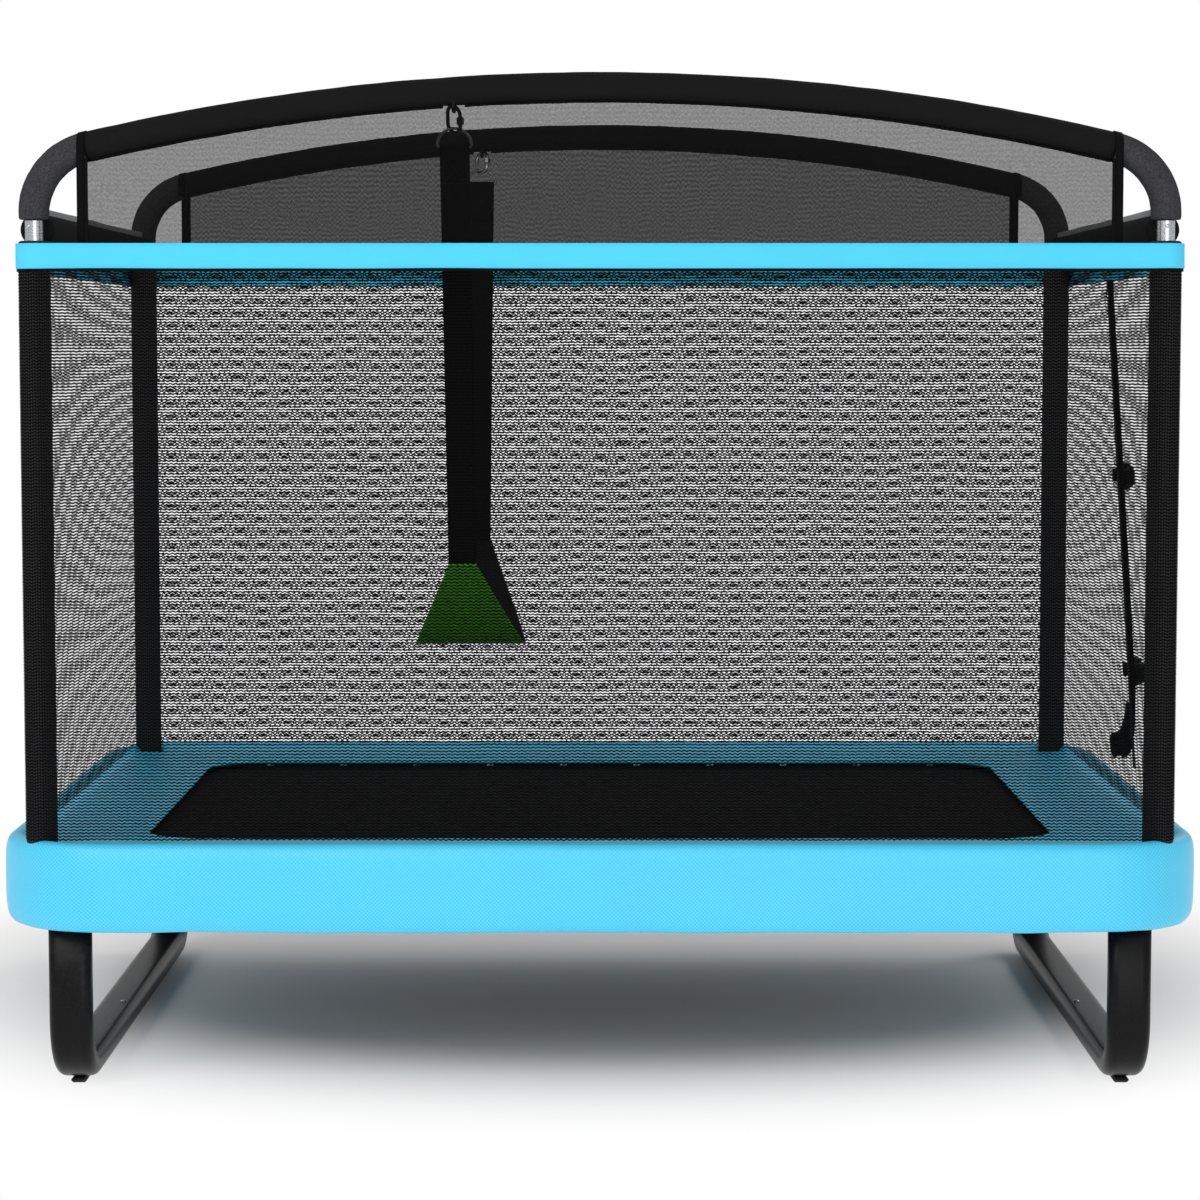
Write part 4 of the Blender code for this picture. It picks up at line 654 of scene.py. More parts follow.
ribs = pattern_group("foam_ribs", {"Pitch": 0.0042}, ["Height", "Shade"])
u, v = metres(ribs)
rib = math_node(ribs, "MULTIPLY_ADD", scaled(ribs, u, ribs.nodes["in"].outputs["Pitch"]), 0.5, 0.5)
cells = noise_node(ribs, 620.0, 3.0, 0.6)
ribs.links.new(math_node(ribs, "MULTIPLY_ADD", cells, 0.5, rib),
               ribs.nodes["out"].inputs["Height"])
ribs.links.new(eased(ribs, rib, 0.05, 0.75), ribs.nodes["out"].inputs["Shade"])

ribbed_foam = surface("ribbed_grey_foam", (0.010, 0.010, 0.011), (0.042, 0.042, 0.044),
                      (0.85, 0.95), ribs, {"Pitch": 0.0042}, 0.0009, mottled=0.2, shine=0.03)

POST_RADIUS = 0.014
POST_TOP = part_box("post_front_right")[1].z
for end, sy in ENDS.items():
    for side, sx in SIDES.items():
        x, y = sx * POST_X, sy * POST_Y
        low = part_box(f"post_{end}_{side}")[0].z
        ends = [(low, POST_RADIUS - 0.0006), (low + 0.0006, POST_RADIUS), (0.9, POST_RADIUS),
                (1.24, POST_RADIUS), (POST_TOP - 0.0016, POST_RADIUS),
                (POST_TOP - 0.0006, POST_RADIUS), (POST_TOP, POST_RADIUS - 0.0006)]
        post = tube(f"post_tube_{end}_{side}", [(x, y, z) for z, _ in ends],
                    [r for _, r in ends], zinc, sides=48)
        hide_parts(f"post_{end}_{side}")
        low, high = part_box(f"post_foam_{end}_{side}")
        radius = (high.x - low.x) / 2
        ends = [(low.z, radius - 0.0035), (low.z + 0.001, radius - 0.001),
                (low.z + 0.003, radius), (0.6, radius), (0.9, radius), (1.1, radius),
                (high.z - 0.003, radius), (high.z - 0.001, radius - 0.001),
                (high.z, radius - 0.0035)]
        foam = tube(f"post_sleeve_{end}_{side}", [(x, y, z) for z, _ in ends],
                    [r for _, r in ends], ribbed_foam, sides=48)
        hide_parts(f"post_foam_{end}_{side}")

# ---- snap buttons ----
# A domed spring button locks each arch in its post. The one at the front left is turned
# outwards, as it was put together.

BUTTON_TURN = {("front", "left"): -25.0}
for end, sy in ENDS.items():
    for side, sx in SIDES.items():
        name = f"snap_button_{end}_{side}"
        low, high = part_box(name)
        turn = math.radians(BUTTON_TURN.get((end, side), 0.0))
        outward = Vector((math.sin(turn), sy * math.cos(turn), 0.0))
        axis = Vector((sx * POST_X, sy * POST_Y, (low.z + high.z) / 2))
        dome = [(0.0085, 0.0040), (0.0090, 0.0042), (0.0094, 0.0030), (0.0145, 0.0030),
                (0.0155, 0.0028), (0.0162, 0.0020), (0.0165, 0.0004)]
        button = tube(f"button_{end}_{side}", [axis + outward * a for a, _ in dome],
                      [r for _, r in dome], zinc, f"button_{end}_{side}", sides=24)
        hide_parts(name)

# ---- arches ----
# Black tubes from post to post over the long sides, bent at the ends and gently crowned, with
# the swing's welded eye hanging under each.

ARCH_CREST = 1.582
ARCH_RADIUS = 3.5
BEND_RADIUS = 0.105
bend_x = POST_X - BEND_RADIUS
crown_z = ARCH_CREST - ARCH_RADIUS
bend_z = crown_z + math.sqrt((ARCH_RADIUS - BEND_RADIUS) ** 2 - bend_x ** 2)
CROWN_ANGLE = math.degrees(math.acos(bend_x / (ARCH_RADIUS - BEND_RADIUS)))
SWING_X = -0.227


def arch_height(x):
    """Centreline of the crown over a place along the arch."""
    return crown_z + math.sqrt(ARCH_RADIUS ** 2 - x * x)


def arch_line(steps=24, crown_steps=80):
    """The arch's centreline from the right post's top to the left one's, as (x, z)."""
    line = arc((bend_x, bend_z), BEND_RADIUS, 0, CROWN_ANGLE, steps)
    line += arc((0.0, crown_z), ARCH_RADIUS, CROWN_ANGLE, 180 - CROWN_ANGLE, crown_steps)[1:-1]
    return line + arc((-bend_x, bend_z), BEND_RADIUS, 180 - CROWN_ANGLE, 180, steps)


for end, sy in ENDS.items():
    y = sy * POST_Y
    foot = [(POST_X, 1.31, 0.0118), (POST_X, POST_TOP, 0.0118), (POST_X, POST_TOP + 1e-4, 0.0140)]
    line = foot + [(x, z, 0.0140) for x, z in arch_line()]
    line += [(-x, z, r) for x, z, r in reversed(foot)]
    arch = tube(f"arch_tube_{end}", [(x, y, z) for x, z, _ in line], [r for _, _, r in line],
                powder_coat, sides=28)
    eye_z = arch_height(SWING_X) - 0.0291
    drop = [(-0.015, eye_z + 0.022), (-0.015, eye_z + 0.012)]
    drop += arc((-0.009, eye_z + 0.006), 0.006, 180, 270, 8)
    drop += arc((0.009, eye_z + 0.006), 0.006, 270, 360, 8)
    drop += [(0.015, eye_z + 0.012), (0.015, eye_z + 0.022)]
    eye = tube("eye", [(SWING_X, y + a, z) for a, z in drop], 0.003, powder_coat, sides=16)
    beads = [tube("bead", [(SWING_X + 0.0045 * math.cos(a), y + s * 0.0150 + 0.0045 * math.sin(a),
                            arch_height(SWING_X) - 0.0128 + 0.0016 * math.cos(2 * a))
                           for a in np.linspace(0, 2 * math.pi, 13)[:-1]], 0.0017, powder_coat,
                  sides=8, loop=True) for s in (-1, 1)]
    arch = joined(f"arch_tube_{end}", [arch, eye, *beads])
    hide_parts(f"arch_{end}")

# ---- arch sleeves ----
# Black woven sleeves over foam along the crowns, slightly wrinkled, with an opening under the
# eye for the swing's link.

sleeve_fabric = surface("black_sleeve_fabric", (0.0035, 0.0035, 0.0038), (0.0105, 0.0105, 0.011),
                        (0.7, 0.85), weave, {"Across": 0.0030, "Along": 0.0030}, 0.0007,
                        mottled=0.3, shine=0.08)

SLEEVE_END_X = 0.8000
for end, sy in ENDS.items():
    y = sy * POST_Y
    angle = math.degrees(math.acos(SLEEVE_END_X / ARCH_RADIUS))
    line = arc((0.0, crown_z), ARCH_RADIUS, angle, 180 - angle, 260)
    radii = [0.0238 + 0.0005 * noise.noise(Vector((x * 9, sy, 0.0))) for x, _ in line]
    radii[0] = radii[-1] = 0.0225
    sleeve = tube(f"sleeve_{end}", [(x, y, z) for x, z in line], radii, sleeve_fabric, None,
                  sides=40)
    for vertex in sleeve.data.vertices:
        p = vertex.co
        crease = noise.noise(Vector((p.x * 26, p.y * 40, p.z * 40 + sy)))
        vertex.co = p + vertex.normal * 0.0006 * crease
    top = arch_height(SWING_X)
    notch = block("notch", (SWING_X - 0.017, y - 0.0135, top - 0.035),
                  (SWING_X + 0.017, y + 0.0135, top), sleeve_fabric, None)
    cut_away(sleeve, notch)
    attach(sleeve, "frame")
    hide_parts(f"arch_sleeve_{end}")

# ---- bend foams ----
# Bare closed-cell foam round the bends of the arches, rough from handling.

porous = pattern_group("foam_cells", {"Scale": 260.0}, ["Height", "Shade"])
cell = noise_node(porous, porous.nodes["in"].outputs["Scale"], 6.0, 0.7)
scuff = noise_node(porous, 38.0, 4.0, 0.65)
both = math_node(porous, "MULTIPLY_ADD", scuff, 0.2, cell)
porous.links.new(both, porous.nodes["out"].inputs["Height"])
porous.links.new(eased(porous, both, 0.45, 0.75), porous.nodes["out"].inputs["Shade"])
bare_foam = surface("bare_grey_foam", (0.028, 0.028, 0.030), (0.060, 0.060, 0.063), (0.9, 1.0),
                    porous, {"Scale": 420.0}, 0.0009, mottled=0.12, shine=0.03)

for end, sy in ENDS.items():
    for side, sx in SIDES.items():
        line = [(POST_X, POST_TOP + 0.0006), (POST_X, POST_TOP + 0.004)]
        line += arc((bend_x, bend_z), BEND_RADIUS, 0, CROWN_ANGLE, 40)
        radius = 0.0238
        radii = [radius - 0.002, radius - 0.0003] + [radius] * (len(line) - 3) + [radius - 0.002]
        foam = tube(f"bend_sleeve_{end}_{side}", [(sx * x, sy * POST_Y, z) for x, z in line],
                    radii, bare_foam, None, sides=48)
        for vertex in foam.data.vertices:
            p = vertex.co
            dent = noise.noise(p * 45) * 0.0006 + noise.noise(p * 130) * 0.00035
            vertex.co = p + vertex.normal * dent
        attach(foam, "frame")
        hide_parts(f"bend_foam_{end}_{side}")

# ---- side rails ----
# A zinc tube joins the posts on each side, hooked round them, in a thick sleeve of black foam. A
# light strip of net is caught along its top and tied at the front with a loop of cord.

rail_foam = surface("black_rail_foam", (0.007, 0.007, 0.0075), (0.018, 0.018, 0.019),
                    (0.85, 0.97), porous, {"Scale": 420.0}, 0.0007, mottled=0.2, shine=0.03)
RAIL_Z = (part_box("side_rail_right")[0].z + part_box("side_rail_right")[1].z) / 2
for side, sx in SIDES.items():
    x = sx * POST_X
    low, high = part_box(f"side_rail_{side}")
    radius = (high.z - low.z) / 2
    ends = [(low.y + 0.002, radius - 0.0006), (low.y + 0.0026, radius), (low.y + 0.004, radius),
            (-0.3, radius), (0.3, radius), (high.y - 0.004, radius), (high.y - 0.0026, radius),
            (high.y - 0.002, radius - 0.0006)]
    rail = tube(f"rail_{side}", [(x, y, RAIL_Z) for y, _ in ends], [r for _, r in ends], zinc,
                sides=48)
    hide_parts(f"side_rail_{side}")
    low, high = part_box(f"side_rail_foam_{side}")
    radius = (high.z - low.z) / 2
    ends = [(low.y, radius - 0.004), (low.y + 0.0012, radius - 0.001), (low.y + 0.004, radius)]
    ends += [(y, radius) for y in np.linspace(low.y + 0.02, high.y - 0.02, 40)]
    ends += [(high.y - 0.004, radius), (high.y - 0.0012, radius - 0.001),
             (high.y, radius - 0.004)]
    foam = tube(f"rail_sleeve_{side}", [(x, y, RAIL_Z) for y, _ in ends], [r for _, r in ends],
                rail_foam, None, sides=48)
    for vertex in foam.data.vertices:
        vertex.co += vertex.normal * 0.0005 * noise.noise(vertex.co * 22)
    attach(foam, "frame")
    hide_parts(f"side_rail_foam_{side}")

# ---- rail net strips ----
# The pale strip of net along the top of each side rail, with its cord loop.

pale_net = surface("pale_net_strip", (0.24, 0.245, 0.25), (0.42, 0.43, 0.44), (0.7, 0.85), weave,
                   {"Across": 0.0030, "Along": 0.0045}, 0.0006, mottled=0.3)
cord_black = surface("black_cord", (0.006, 0.006, 0.0065), (0.016, 0.016, 0.017), (0.6, 0.8),
                     weave, {"Across": 0.0011, "Along": 0.0014}, 0.0003, mottled=0.2)

for side, sx in SIDES.items():
    low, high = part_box(f"side_rail_foam_{side}")
    x, top = (low.x + high.x) / 2, high.z

    def strip_place(s, t, x=x, top=top, low=low, high=high):
        y = low.y + 0.004 + (high.y - low.y - 0.008) * t
        sway = 0.0012 * noise.noise(Vector((y * 9, x * 3, 0.0)))
        rise = 0.0105 - 0.003 * noise.noise(Vector((y * 3, x, 5.0)))
        return (x - sx * 0.002 + sway * s, y, top - 0.0012 + rise * s)

    strip = cloth(f"net_strip_{side}", strip_place, 160, 6, pale_net)
    thickened(strip, 0.0007)
    knot = Vector((x + sx * 0.006, low.y + 0.012, top + 0.0025))
    loop = [knot + Vector((0.0015 * math.sin(3 * a), -0.010 * (1 - math.cos(a)) * 0.55,
                           0.0062 * math.sin(a))) for a in np.linspace(0, 2 * math.pi, 33)[:-1]]
    cord = tube(f"cord_loop_{side}", loop, 0.0012, cord_black, sides=10, loop=True)

# ---- net walls ----
# Fine black knitted net from the pad to the band, laid round the corner posts outside their
# foam. The right wall is in two halves that meet at the door's zip.

knit = pattern_group("knitted_net", {"Row": 0.005, "Wave": 0.0088, "Sway": 0.0009, "Level": -0.06,
                                       "Soft": 0.1},
                     ["Height", "Shade", "Alpha"])
u, v = metres(knit)
source = knit.nodes["in"].outputs
sideways = math_node(knit, "MULTIPLY_ADD", noise_node(knit, 30.0, 2.0), 0.005, u)
sway = math_node(knit, "MULTIPLY", scaled(knit, sideways, source["Wave"]), source["Sway"])
slow = math_node(knit, "MULTIPLY_ADD", noise_node(knit, 9.0, 2.0), 0.004, v)
drift = math_node(knit, "MULTIPLY_ADD", noise_node(knit, 60.0, 3.0), 0.0012, slow)
row_wave = scaled(knit, math_node(knit, "ADD", drift, sway), source["Row"])
uneven = math_node(knit, "SUBTRACT", noise_node(knit, 300.0, 2.0), 0.5)
margin = math_node(knit, "SUBTRACT", math_node(knit, "MULTIPLY_ADD", uneven, 1.3, row_wave),
                   source["Level"])
knit.links.new(eased(knit, math_node(knit, "DIVIDE", margin, source["Soft"]), -1.0, 1.0),
               knit.nodes["out"].inputs["Alpha"])
rounded_thread = math_node(knit, "MAXIMUM", margin, 0.0)
knit.links.new(rounded_thread, knit.nodes["out"].inputs["Height"])
knit.links.new(eased(knit, rounded_thread, 0.0, 0.8), knit.nodes["out"].inputs["Shade"])

wall_net = surface("black_wall_net", (0.0015, 0.0015, 0.0017), (0.0045, 0.0045, 0.0048),
                   (0.8, 0.95), knit, {"Level": 0.0}, 0.0003, mottled=0.2, shine=0.02)
WRAP = 0.02555
NET_X = POST_X + WRAP
NET_Y = POST_Y + WRAP
NET_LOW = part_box("net_front")[0].z
NET_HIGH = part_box("net_front")[1].z
BOW = 0.0030


def bowed(s, t, x, y, seed):
    """How far a wall's cloth stands out of its plane: pinned at its edges, soft between."""
    pinned = math.sin(math.pi * s) ** 0.5 * math.sin(math.pi * t) ** 0.5
    drift = noise.noise(Vector((x * 2.6, y * 2.6, seed)))
    fine = noise.noise(Vector((x * 9, y * 9, seed + 3))) * 0.25
    return BOW * pinned * (drift + fine)


for end, sy in ENDS.items():
    def place(s, t, sy=sy):
        x = (2 * s - 1) * POST_X
        z = NET_LOW + (NET_HIGH - NET_LOW) * t
        return (x, sy * (NET_Y + bowed(s, t, x, z, sy)), z)

    width, height = 2 * POST_X, NET_HIGH - NET_LOW
    made = cloth(f"wall_net_{end}", place, 60, 110, wall_net,
                 uv=[[(width * s, height * t) for s in np.linspace(0, 1, 111)]
                     for t in np.linspace(0, 1, 61)])
    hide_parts(f"net_{end}")

SEAM_TOP = (0.125, 1.300)
SEAM_SLOPE = 3 / 7


def seam_y(z):
    """The door's seam at a height."""
    return SEAM_TOP[0] - SEAM_SLOPE * (SEAM_TOP[1] - z)


def wall_outline(sx, from_corner, to_corner, start, stop):
    """Points (x, y) along a side wall, from the front, with its wrapped corners."""
    line = []
    if from_corner:
        line += [(sx * (POST_X + a), -POST_Y + b) for a, b in arc((0, 0), WRAP, -90, 0, 8)[:-1]]
    line += [(sx * NET_X, start + (stop - start) * k / 60) for k in range(61)]
    if to_corner:
        line += [(sx * (POST_X + a), POST_Y + b) for a, b in arc((0, 0), WRAP, 0, 90, 8)[1:]]
    return line


def side_net(name, node, sx, from_corner, to_corner, start, stop):
    """A side wall's net as a sheet; start and stop give its edges at a height."""
    rows, uv = [], []
    for z in np.linspace(NET_LOW, NET_HIGH, 61):
        line = wall_outline(sx, from_corner, to_corner, start(z), stop(z))
        t = (z - NET_LOW) / (NET_HIGH - NET_LOW)
        row = []
        for k, (x, y) in enumerate(line):
            flat = abs(abs(x) - NET_X) < 1e-9
            s = (y - start(z)) / (stop(z) - start(z))
            lift = bowed(min(max(s, 0.0), 1.0), t, y, z, sx * 5) if flat else 0.0
            row.append((x + sx * lift, y, z))
        steps = [0.0] + [math.dist(a, b) for a, b in zip(line, line[1:])]
        rows.append(row)
        uv.append([(a + line[0][1], z) for a in np.cumsum(steps)])
    made = skin(name, rows, wall_net, across=False, uv=uv)
    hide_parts(node)
    return made


side_net("wall_net_left", "net_left", -1, True, True, lambda z: -POST_Y, lambda z: POST_Y)
side_net("wall_net_right_front", "net_right_front", 1, True, False, lambda z: -POST_Y,
         lambda z: seam_y(z) - 0.0003)
side_net("wall_net_right_back", "net_right_back", 1, False, True,
         lambda z: seam_y(z) + 0.0003, lambda z: POST_Y)

# ---- band shade strip ----
# A narrow dark strip goes round outside the net's top edge and shows under the band. It is painted
# shade under the band's lower edge, in the black tape finish that the net bindings and the zip
# cover's piping also use.

# Black tape for the net bindings and the zip cover's piping; the same finish also paints the shade
# under the band.
tape_and_band_shade = surface("black_tape_and_band_shade", (0.0025, 0.0025, 0.0028), (0.0070, 0.0070, 0.0075),
                   (0.7, 0.85), weave, {"Across": 0.0016, "Along": 0.0016}, 0.0004,
                   mottled=0.2, shine=0.05)


def strip_round(name, half_x, half_y, radius, low, high, finish, ripple=0.0, thickness=0.0010,
                rows=4):
    """A closed strip of cloth round the walls, with a little ripple at its lower edge."""
    outline = rounded(half_x, half_y, radius, 10, straight=90)
    rings = []
    for t in np.linspace(0, 1, rows + 1):
        z = low + (high - low) * t
        ring = []
        for x, y in outline:
            out = Vector((x / half_x, y / half_y, 0.0))
            way = Vector((x, y, 0.0)) - Vector((max(-half_x + radius, min(half_x - radius, x)),
                                                max(-half_y + radius, min(half_y - radius, y)),
                                                0.0))
            way.normalize()
            soft = ripple * noise.noise(Vector((x * 14, y * 14, z * 10))) * (1.2 - t)
            dip = ripple * 0.8 * noise.noise(Vector((x * 6, y * 6, 9.0))) * (1 - t)
            ring.append((x + way.x * soft, y + way.y * soft, z + dip))
        rings.append(ring)
    made = skin(name, rings, finish, None)
    thickened(made, thickness)
    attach(made, "frame")
    return made


BAND_LOW, BAND_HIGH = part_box("top_band")[0].z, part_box("top_band")[1].z
# Painted shade: a dark strip just below the band, outside the net.
painted_band_shade = strip_round("painted_band_shade", NET_X + 0.0018, NET_Y + 0.0018, WRAP + 0.0018,
                       BAND_LOW - 0.0045, BAND_LOW + 0.004, tape_and_band_shade, ripple=0.0004)

# ---- top band ----
# A band of cyan woven polyester sewn over the top edge of the net, with a row of stitches along
# each edge. It stands a little off the net and ripples between the posts.

band_cloth = surface("cyan_band_cloth", (0.072, 0.570, 0.870), (0.102, 0.690, 0.95),
                     (0.50, 0.68), weave, {"Across": 0.0013, "Along": 0.0013}, 0.00025,
                     mottled=0.10)
band = strip_round("cyan_band", NET_X + 0.0028, NET_Y + 0.0028, WRAP + 0.0028, BAND_LOW,
                   BAND_HIGH, band_cloth, ripple=0.0012, thickness=0.0014, rows=10)
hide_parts("top_band")
lining = strip_round("band_turn_up", NET_X + 0.0007, NET_Y + 0.0007, WRAP + 0.0007,
                     BAND_LOW - 0.0039, BAND_LOW + 0.006, band_cloth, thickness=0.0005)

thread = surface("cyan_thread", (0.060, 0.480, 0.760), (0.090, 0.620, 0.920), (0.45, 0.6), weave,
                 {"Across": 0.0006, "Along": 0.0008}, 0.0001, mottled=0.1)


STITCH_LIFT = 0.00005


def stitch_row(name, height, half_x, half_y, radius, finish, pitch=0.0042):
    """A row of short stitches round the band."""
    outline = rounded(half_x, half_y, radius, 10, straight=1)
    closed = outline + outline[:1]
    runs = np.cumsum([0.0] + [math.dist(a, b) for a, b in zip(closed, closed[1:])])
    count = int(runs[-1] / pitch)
    corners, faces = [], []
    for k in range(count):
        for shift in (0.12, 0.78):
            at = (k + shift) * runs[-1] / count
            piece = int(np.searchsorted(runs, at, side="right") - 1)
            share = (at - runs[piece]) / (runs[piece + 1] - runs[piece])
            (ax, ay), (bx, by) = closed[piece], closed[piece + 1]
            way = Vector((by - ay, ax - bx)).normalized()
            for dz in (-0.0003, 0.0003):
                corners.append((ax + (bx - ax) * share + way.x * STITCH_LIFT,
                                ay + (by - ay) * share + way.y * STITCH_LIFT, height + dz))
            if shift > 0.5:
                base = len(corners) - 4
                ridge = [(np.array(corners[base + s]) + np.array(corners[base + s + 2])) / 2
                         + np.array((way.x, way.y, 0)) * 0.0005 for s in (0, 1)]
                corners += [tuple(r) for r in ridge]
                faces += [(base, base + 4, base + 5, base + 1),
                          (base + 4, base + 2, base + 3, base + 5)]
    mesh = bpy.data.meshes.new(name)
    mesh.from_pydata(corners, [], faces)
    layer(mesh, [(corners[k][0] + corners[k][1], corners[k][2]) for f in faces for k in f])
    mesh.materials.append(finish)
    made = bpy.data.objects.new(name, mesh)
    bpy.context.scene.collection.objects.link(made)
    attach(made, "frame")
    return made


for name, height in (("low", BAND_LOW + 0.004), ("high", BAND_HIGH - 0.004)):
    row = stitch_row(f"band_stitches_{name}", height, NET_X + 0.0037, NET_Y + 0.0037,
                     WRAP + 0.0037, thread)

# ---- upper nets ----
# A denser net fills each arch, hemmed at its foot behind the band and bound at its ends beside a
# strap that loops over the sleeve.

dense_net = surface("black_upper_net", (0.0020, 0.0020, 0.0022), (0.0050, 0.0050, 0.0053),
                    (0.8, 0.95), knit,
                    {"Row": 0.0019, "Wave": 0.0088, "Sway": 0.0003, "Level": -1.35, "Soft": 3.6},
                    0.0002, mottled=0.2, shine=0.02)
STRAP_X = 0.804
STRAP_WIDTH = 0.0125

for end, sy in ENDS.items():
    plane = POST_Y + 0.02530
    half = STRAP_X - STRAP_WIDTH / 2
    foot = NET_HIGH - 0.004

    def top_of(x):
        return arch_height(x) - 0.0195

    def place(s, t, sy=sy):
        x = (2 * s - 1) * half
        z = foot + (top_of(x) - foot) * t
        lean = 0.0022 * noise.noise(Vector((x * 7, z * 5, sy))) * math.sin(math.pi * t)
        drawn_in = min(max(1 - (top_of(x) - z) / 0.028, 0.0), 1.0)
        return (x, sy * (plane + lean - 0.0105 * drawn_in ** 2), z)

    uv = [[((2 * s - 1) * half, foot + (top_of((2 * s - 1) * half) - foot) * t)
           for s in np.linspace(0, 1, 121)] for t in np.linspace(0, 1, 31)]
    made = cloth(f"arch_net_{end}", place, 30, 120, dense_net, uv=uv)
    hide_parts(f"upper_net_{end}")
    for side, sx in SIDES.items():
        def edge_place(s, t, sx=sx, sy=sy):
            x = STRAP_X - STRAP_WIDTH / 2 - 0.005 * (1 - s)
            z = foot + (top_of(x) - foot) * t
            return (sx * x, sy * (plane + 0.0007), z)

        edge = cloth(f"net_binding_{end}_{side}", edge_place, 12, 3, tape_and_band_shade)
        thickened(edge, 0.0009)
        low_x, high_x = STRAP_X - STRAP_WIDTH / 2, STRAP_X + STRAP_WIDTH / 2
        loop_z = arch_height(0.8000) - 0.0003
        reach = 0.0247
        path = [(reach + 0.0008, foot)] + [(reach + 0.0008, z) for z in (1.40, 1.45)]
        path += [(reach * math.cos(a), loop_z + reach * math.sin(a))
                 for a in np.linspace(0.0, 1.5 * math.pi, 24)]
        path += [(reach * 0.55, loop_z - reach * 0.95), (reach + 0.0001, loop_z - reach * 0.9),
                 (reach + 0.0002, loop_z - 0.045)]
        rings = []
        for across, z in path:
            rings.append([(sx * x, sy * (POST_Y + across),
                           z - (x - STRAP_X) * math.tan(math.radians(90 - CROWN_ANGLE)))
                          for x in (low_x, (low_x + high_x) / 2, high_x)])
        strap = skin(f"arch_strap_{end}_{side}", rings, webbing, None, across=False)
        thickened(strap, 0.0013)
        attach(strap, "frame")

# ---- door zip ----
# A coil zip on black tape runs down the slanting seam inside the right wall, with one slider and
# its pull.

NET_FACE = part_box("net_right_front")[1].x
tape_low, tape_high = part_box("zip_tape")
TAPE_X = (tape_low.x + tape_high.x) / 2
tape_fabric = surface("black_zip_tape", (0.005, 0.005, 0.0055), (0.012, 0.012, 0.013), (0.6, 0.8),
                      weave, {"Across": 0.0012, "Along": 0.0009}, 0.0003, mottled=0.2)


def tape_place(s, t):
    z = tape_low.z + (tape_high.z - tape_low.z) * t
    return (TAPE_X, seam_y(z) + (s - 0.5) * 0.024, z)


tape = cloth("seam_tape", tape_place, 60, 4, tape_fabric)
thickened(tape, 0.0010)
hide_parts("zip_tape")
coil = []
COIL_PITCH = 0.0030
down = Vector((0.0, -SEAM_SLOPE, -1.0)).normalized()
run = (tape_high.z - tape_low.z - 0.01) / -down.z
turns = int(run / COIL_PITCH)
start = Vector((TAPE_X - 0.0010, seam_y(tape_high.z - 0.004), tape_high.z - 0.004))
across = Vector((0.0, 1.0, -SEAM_SLOPE)).normalized()
for k in range(turns * 6 + 1):
    angle = 2 * math.pi * k / 6
    coil.append(start + down * (COIL_PITCH * k / 6) + across * 0.0022 * math.cos(angle)
                - Vector((0.0007 * math.sin(angle), 0.0, 0.0)))
teeth = tube("zip_coil", coil, 0.0005, moulded, sides=5)

SLIDER_Z = SEAM_TOP[1] - 0.028
slider_at = Vector((TAPE_X - 0.00315, seam_y(SLIDER_Z), SLIDER_Z))
slider_turn = Matrix.Translation(slider_at) @ Matrix.Rotation(-math.atan(SEAM_SLOPE), 4, "X")
plates = [rounded(0.0050, 0.0068, 0.0030, 6), rounded(0.0048, 0.0066, 0.0029, 6)]
body = skin("slider", [[(h, a, b) for a, b in plates[k]] for h, k in
                       ((-0.0021, 1), (-0.0018, 0), (-0.0008, 0), (-0.0006, 1), (0.0012, 1),
                        (0.0014, 0), (0.0020, 0), (0.0022, 1))], zinc, None, caps=True)
body.data.transform(slider_turn)
bridge = tube("bridge", [slider_turn @ Vector(p) for p in
                         ((-0.0018, 0.0, 0.0045), (-0.0042, 0.0, 0.0035), (-0.0046, 0.0, 0.0),
                          (-0.0042, 0.0, -0.0035), (-0.0018, 0.0, -0.0045))], 0.0008, zinc, None,
              sides=10)
pull_outline = rounded(0.0029, 0.0145, 0.0024, 6)
pull = skin("pull", [[slider_turn @ Vector((h, a, b - 0.0165)) for a, b in pull_outline]
                     for h in (-0.0036, -0.0024)], zinc, None, caps=True)
hole = tube("hole", [slider_turn @ Vector((h, 0.0, -0.0050)) for h in (-0.006, 0.0)], 0.0014, zinc,
            None, sides=16)
cut_away(pull, hole)
slider = joined("zip_slider_pull", [body, bridge, pull])
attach(slider, "slider")
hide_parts("zip_slider")

# ---- zip cover ----
# A stiff strip of black woven fabric lies over the zip outside, edged with piping, and turns
# backwards into a boot at its foot.

cover_low, cover_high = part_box("zip_cover")
COVER_X = (cover_low.x + cover_high.x) / 2
COVER_BOOT = ((0.002, -0.060), (0.035, -0.105), (0.092, -0.126), (0.165, -0.132),
              (0.215, -0.143), (0.248, -0.128), (0.252, -0.108), (0.200, -0.098),
              (0.130, -0.078), (0.082, -0.030), (0.073, 0.025))
cover_front = seam_y(0.600) - 0.031
cover_edge = [(seam_y(SEAM_TOP[1]) - 0.031, SEAM_TOP[1])]
for k in range(1, 30):
    z = SEAM_TOP[1] - (SEAM_TOP[1] - 0.600) * k / 29
    cover_edge.append((seam_y(z) - 0.031, z))
boot = [(cover_front, 0.600)] + [(cover_front + y, 0.600 + z) for y, z in COVER_BOOT]
boot += [(seam_y(SEAM_TOP[1]) + 0.031, SEAM_TOP[1])]
BOOT_STEPS, STRAIGHT_STEPS = 5, 30
for a, b, c, d in zip([boot[0]] + boot, boot, boot[1:], boot[2:] + [boot[-1]]):
    if b is boot[0]:
        continue
    a, b, c, d = (np.array(p) for p in (a, b, c, d))
    straight = np.array_equal(c, np.array(boot[-1]))
    steps = STRAIGHT_STEPS if straight else BOOT_STEPS
    for t in np.arange(1, steps + 1) / steps:
        if straight:
            cover_edge.append(tuple(b + (c - b) * t))
        else:
            square, cube = 2 * a - 5 * b + 4 * c - d, 3 * b - 3 * c + d - a
            cover_edge.append(tuple(0.5 * (2 * b + (c - a) * t + square * t ** 2
                                           + cube * t ** 3)))
cover_mesh = bpy.data.meshes.new("cover")
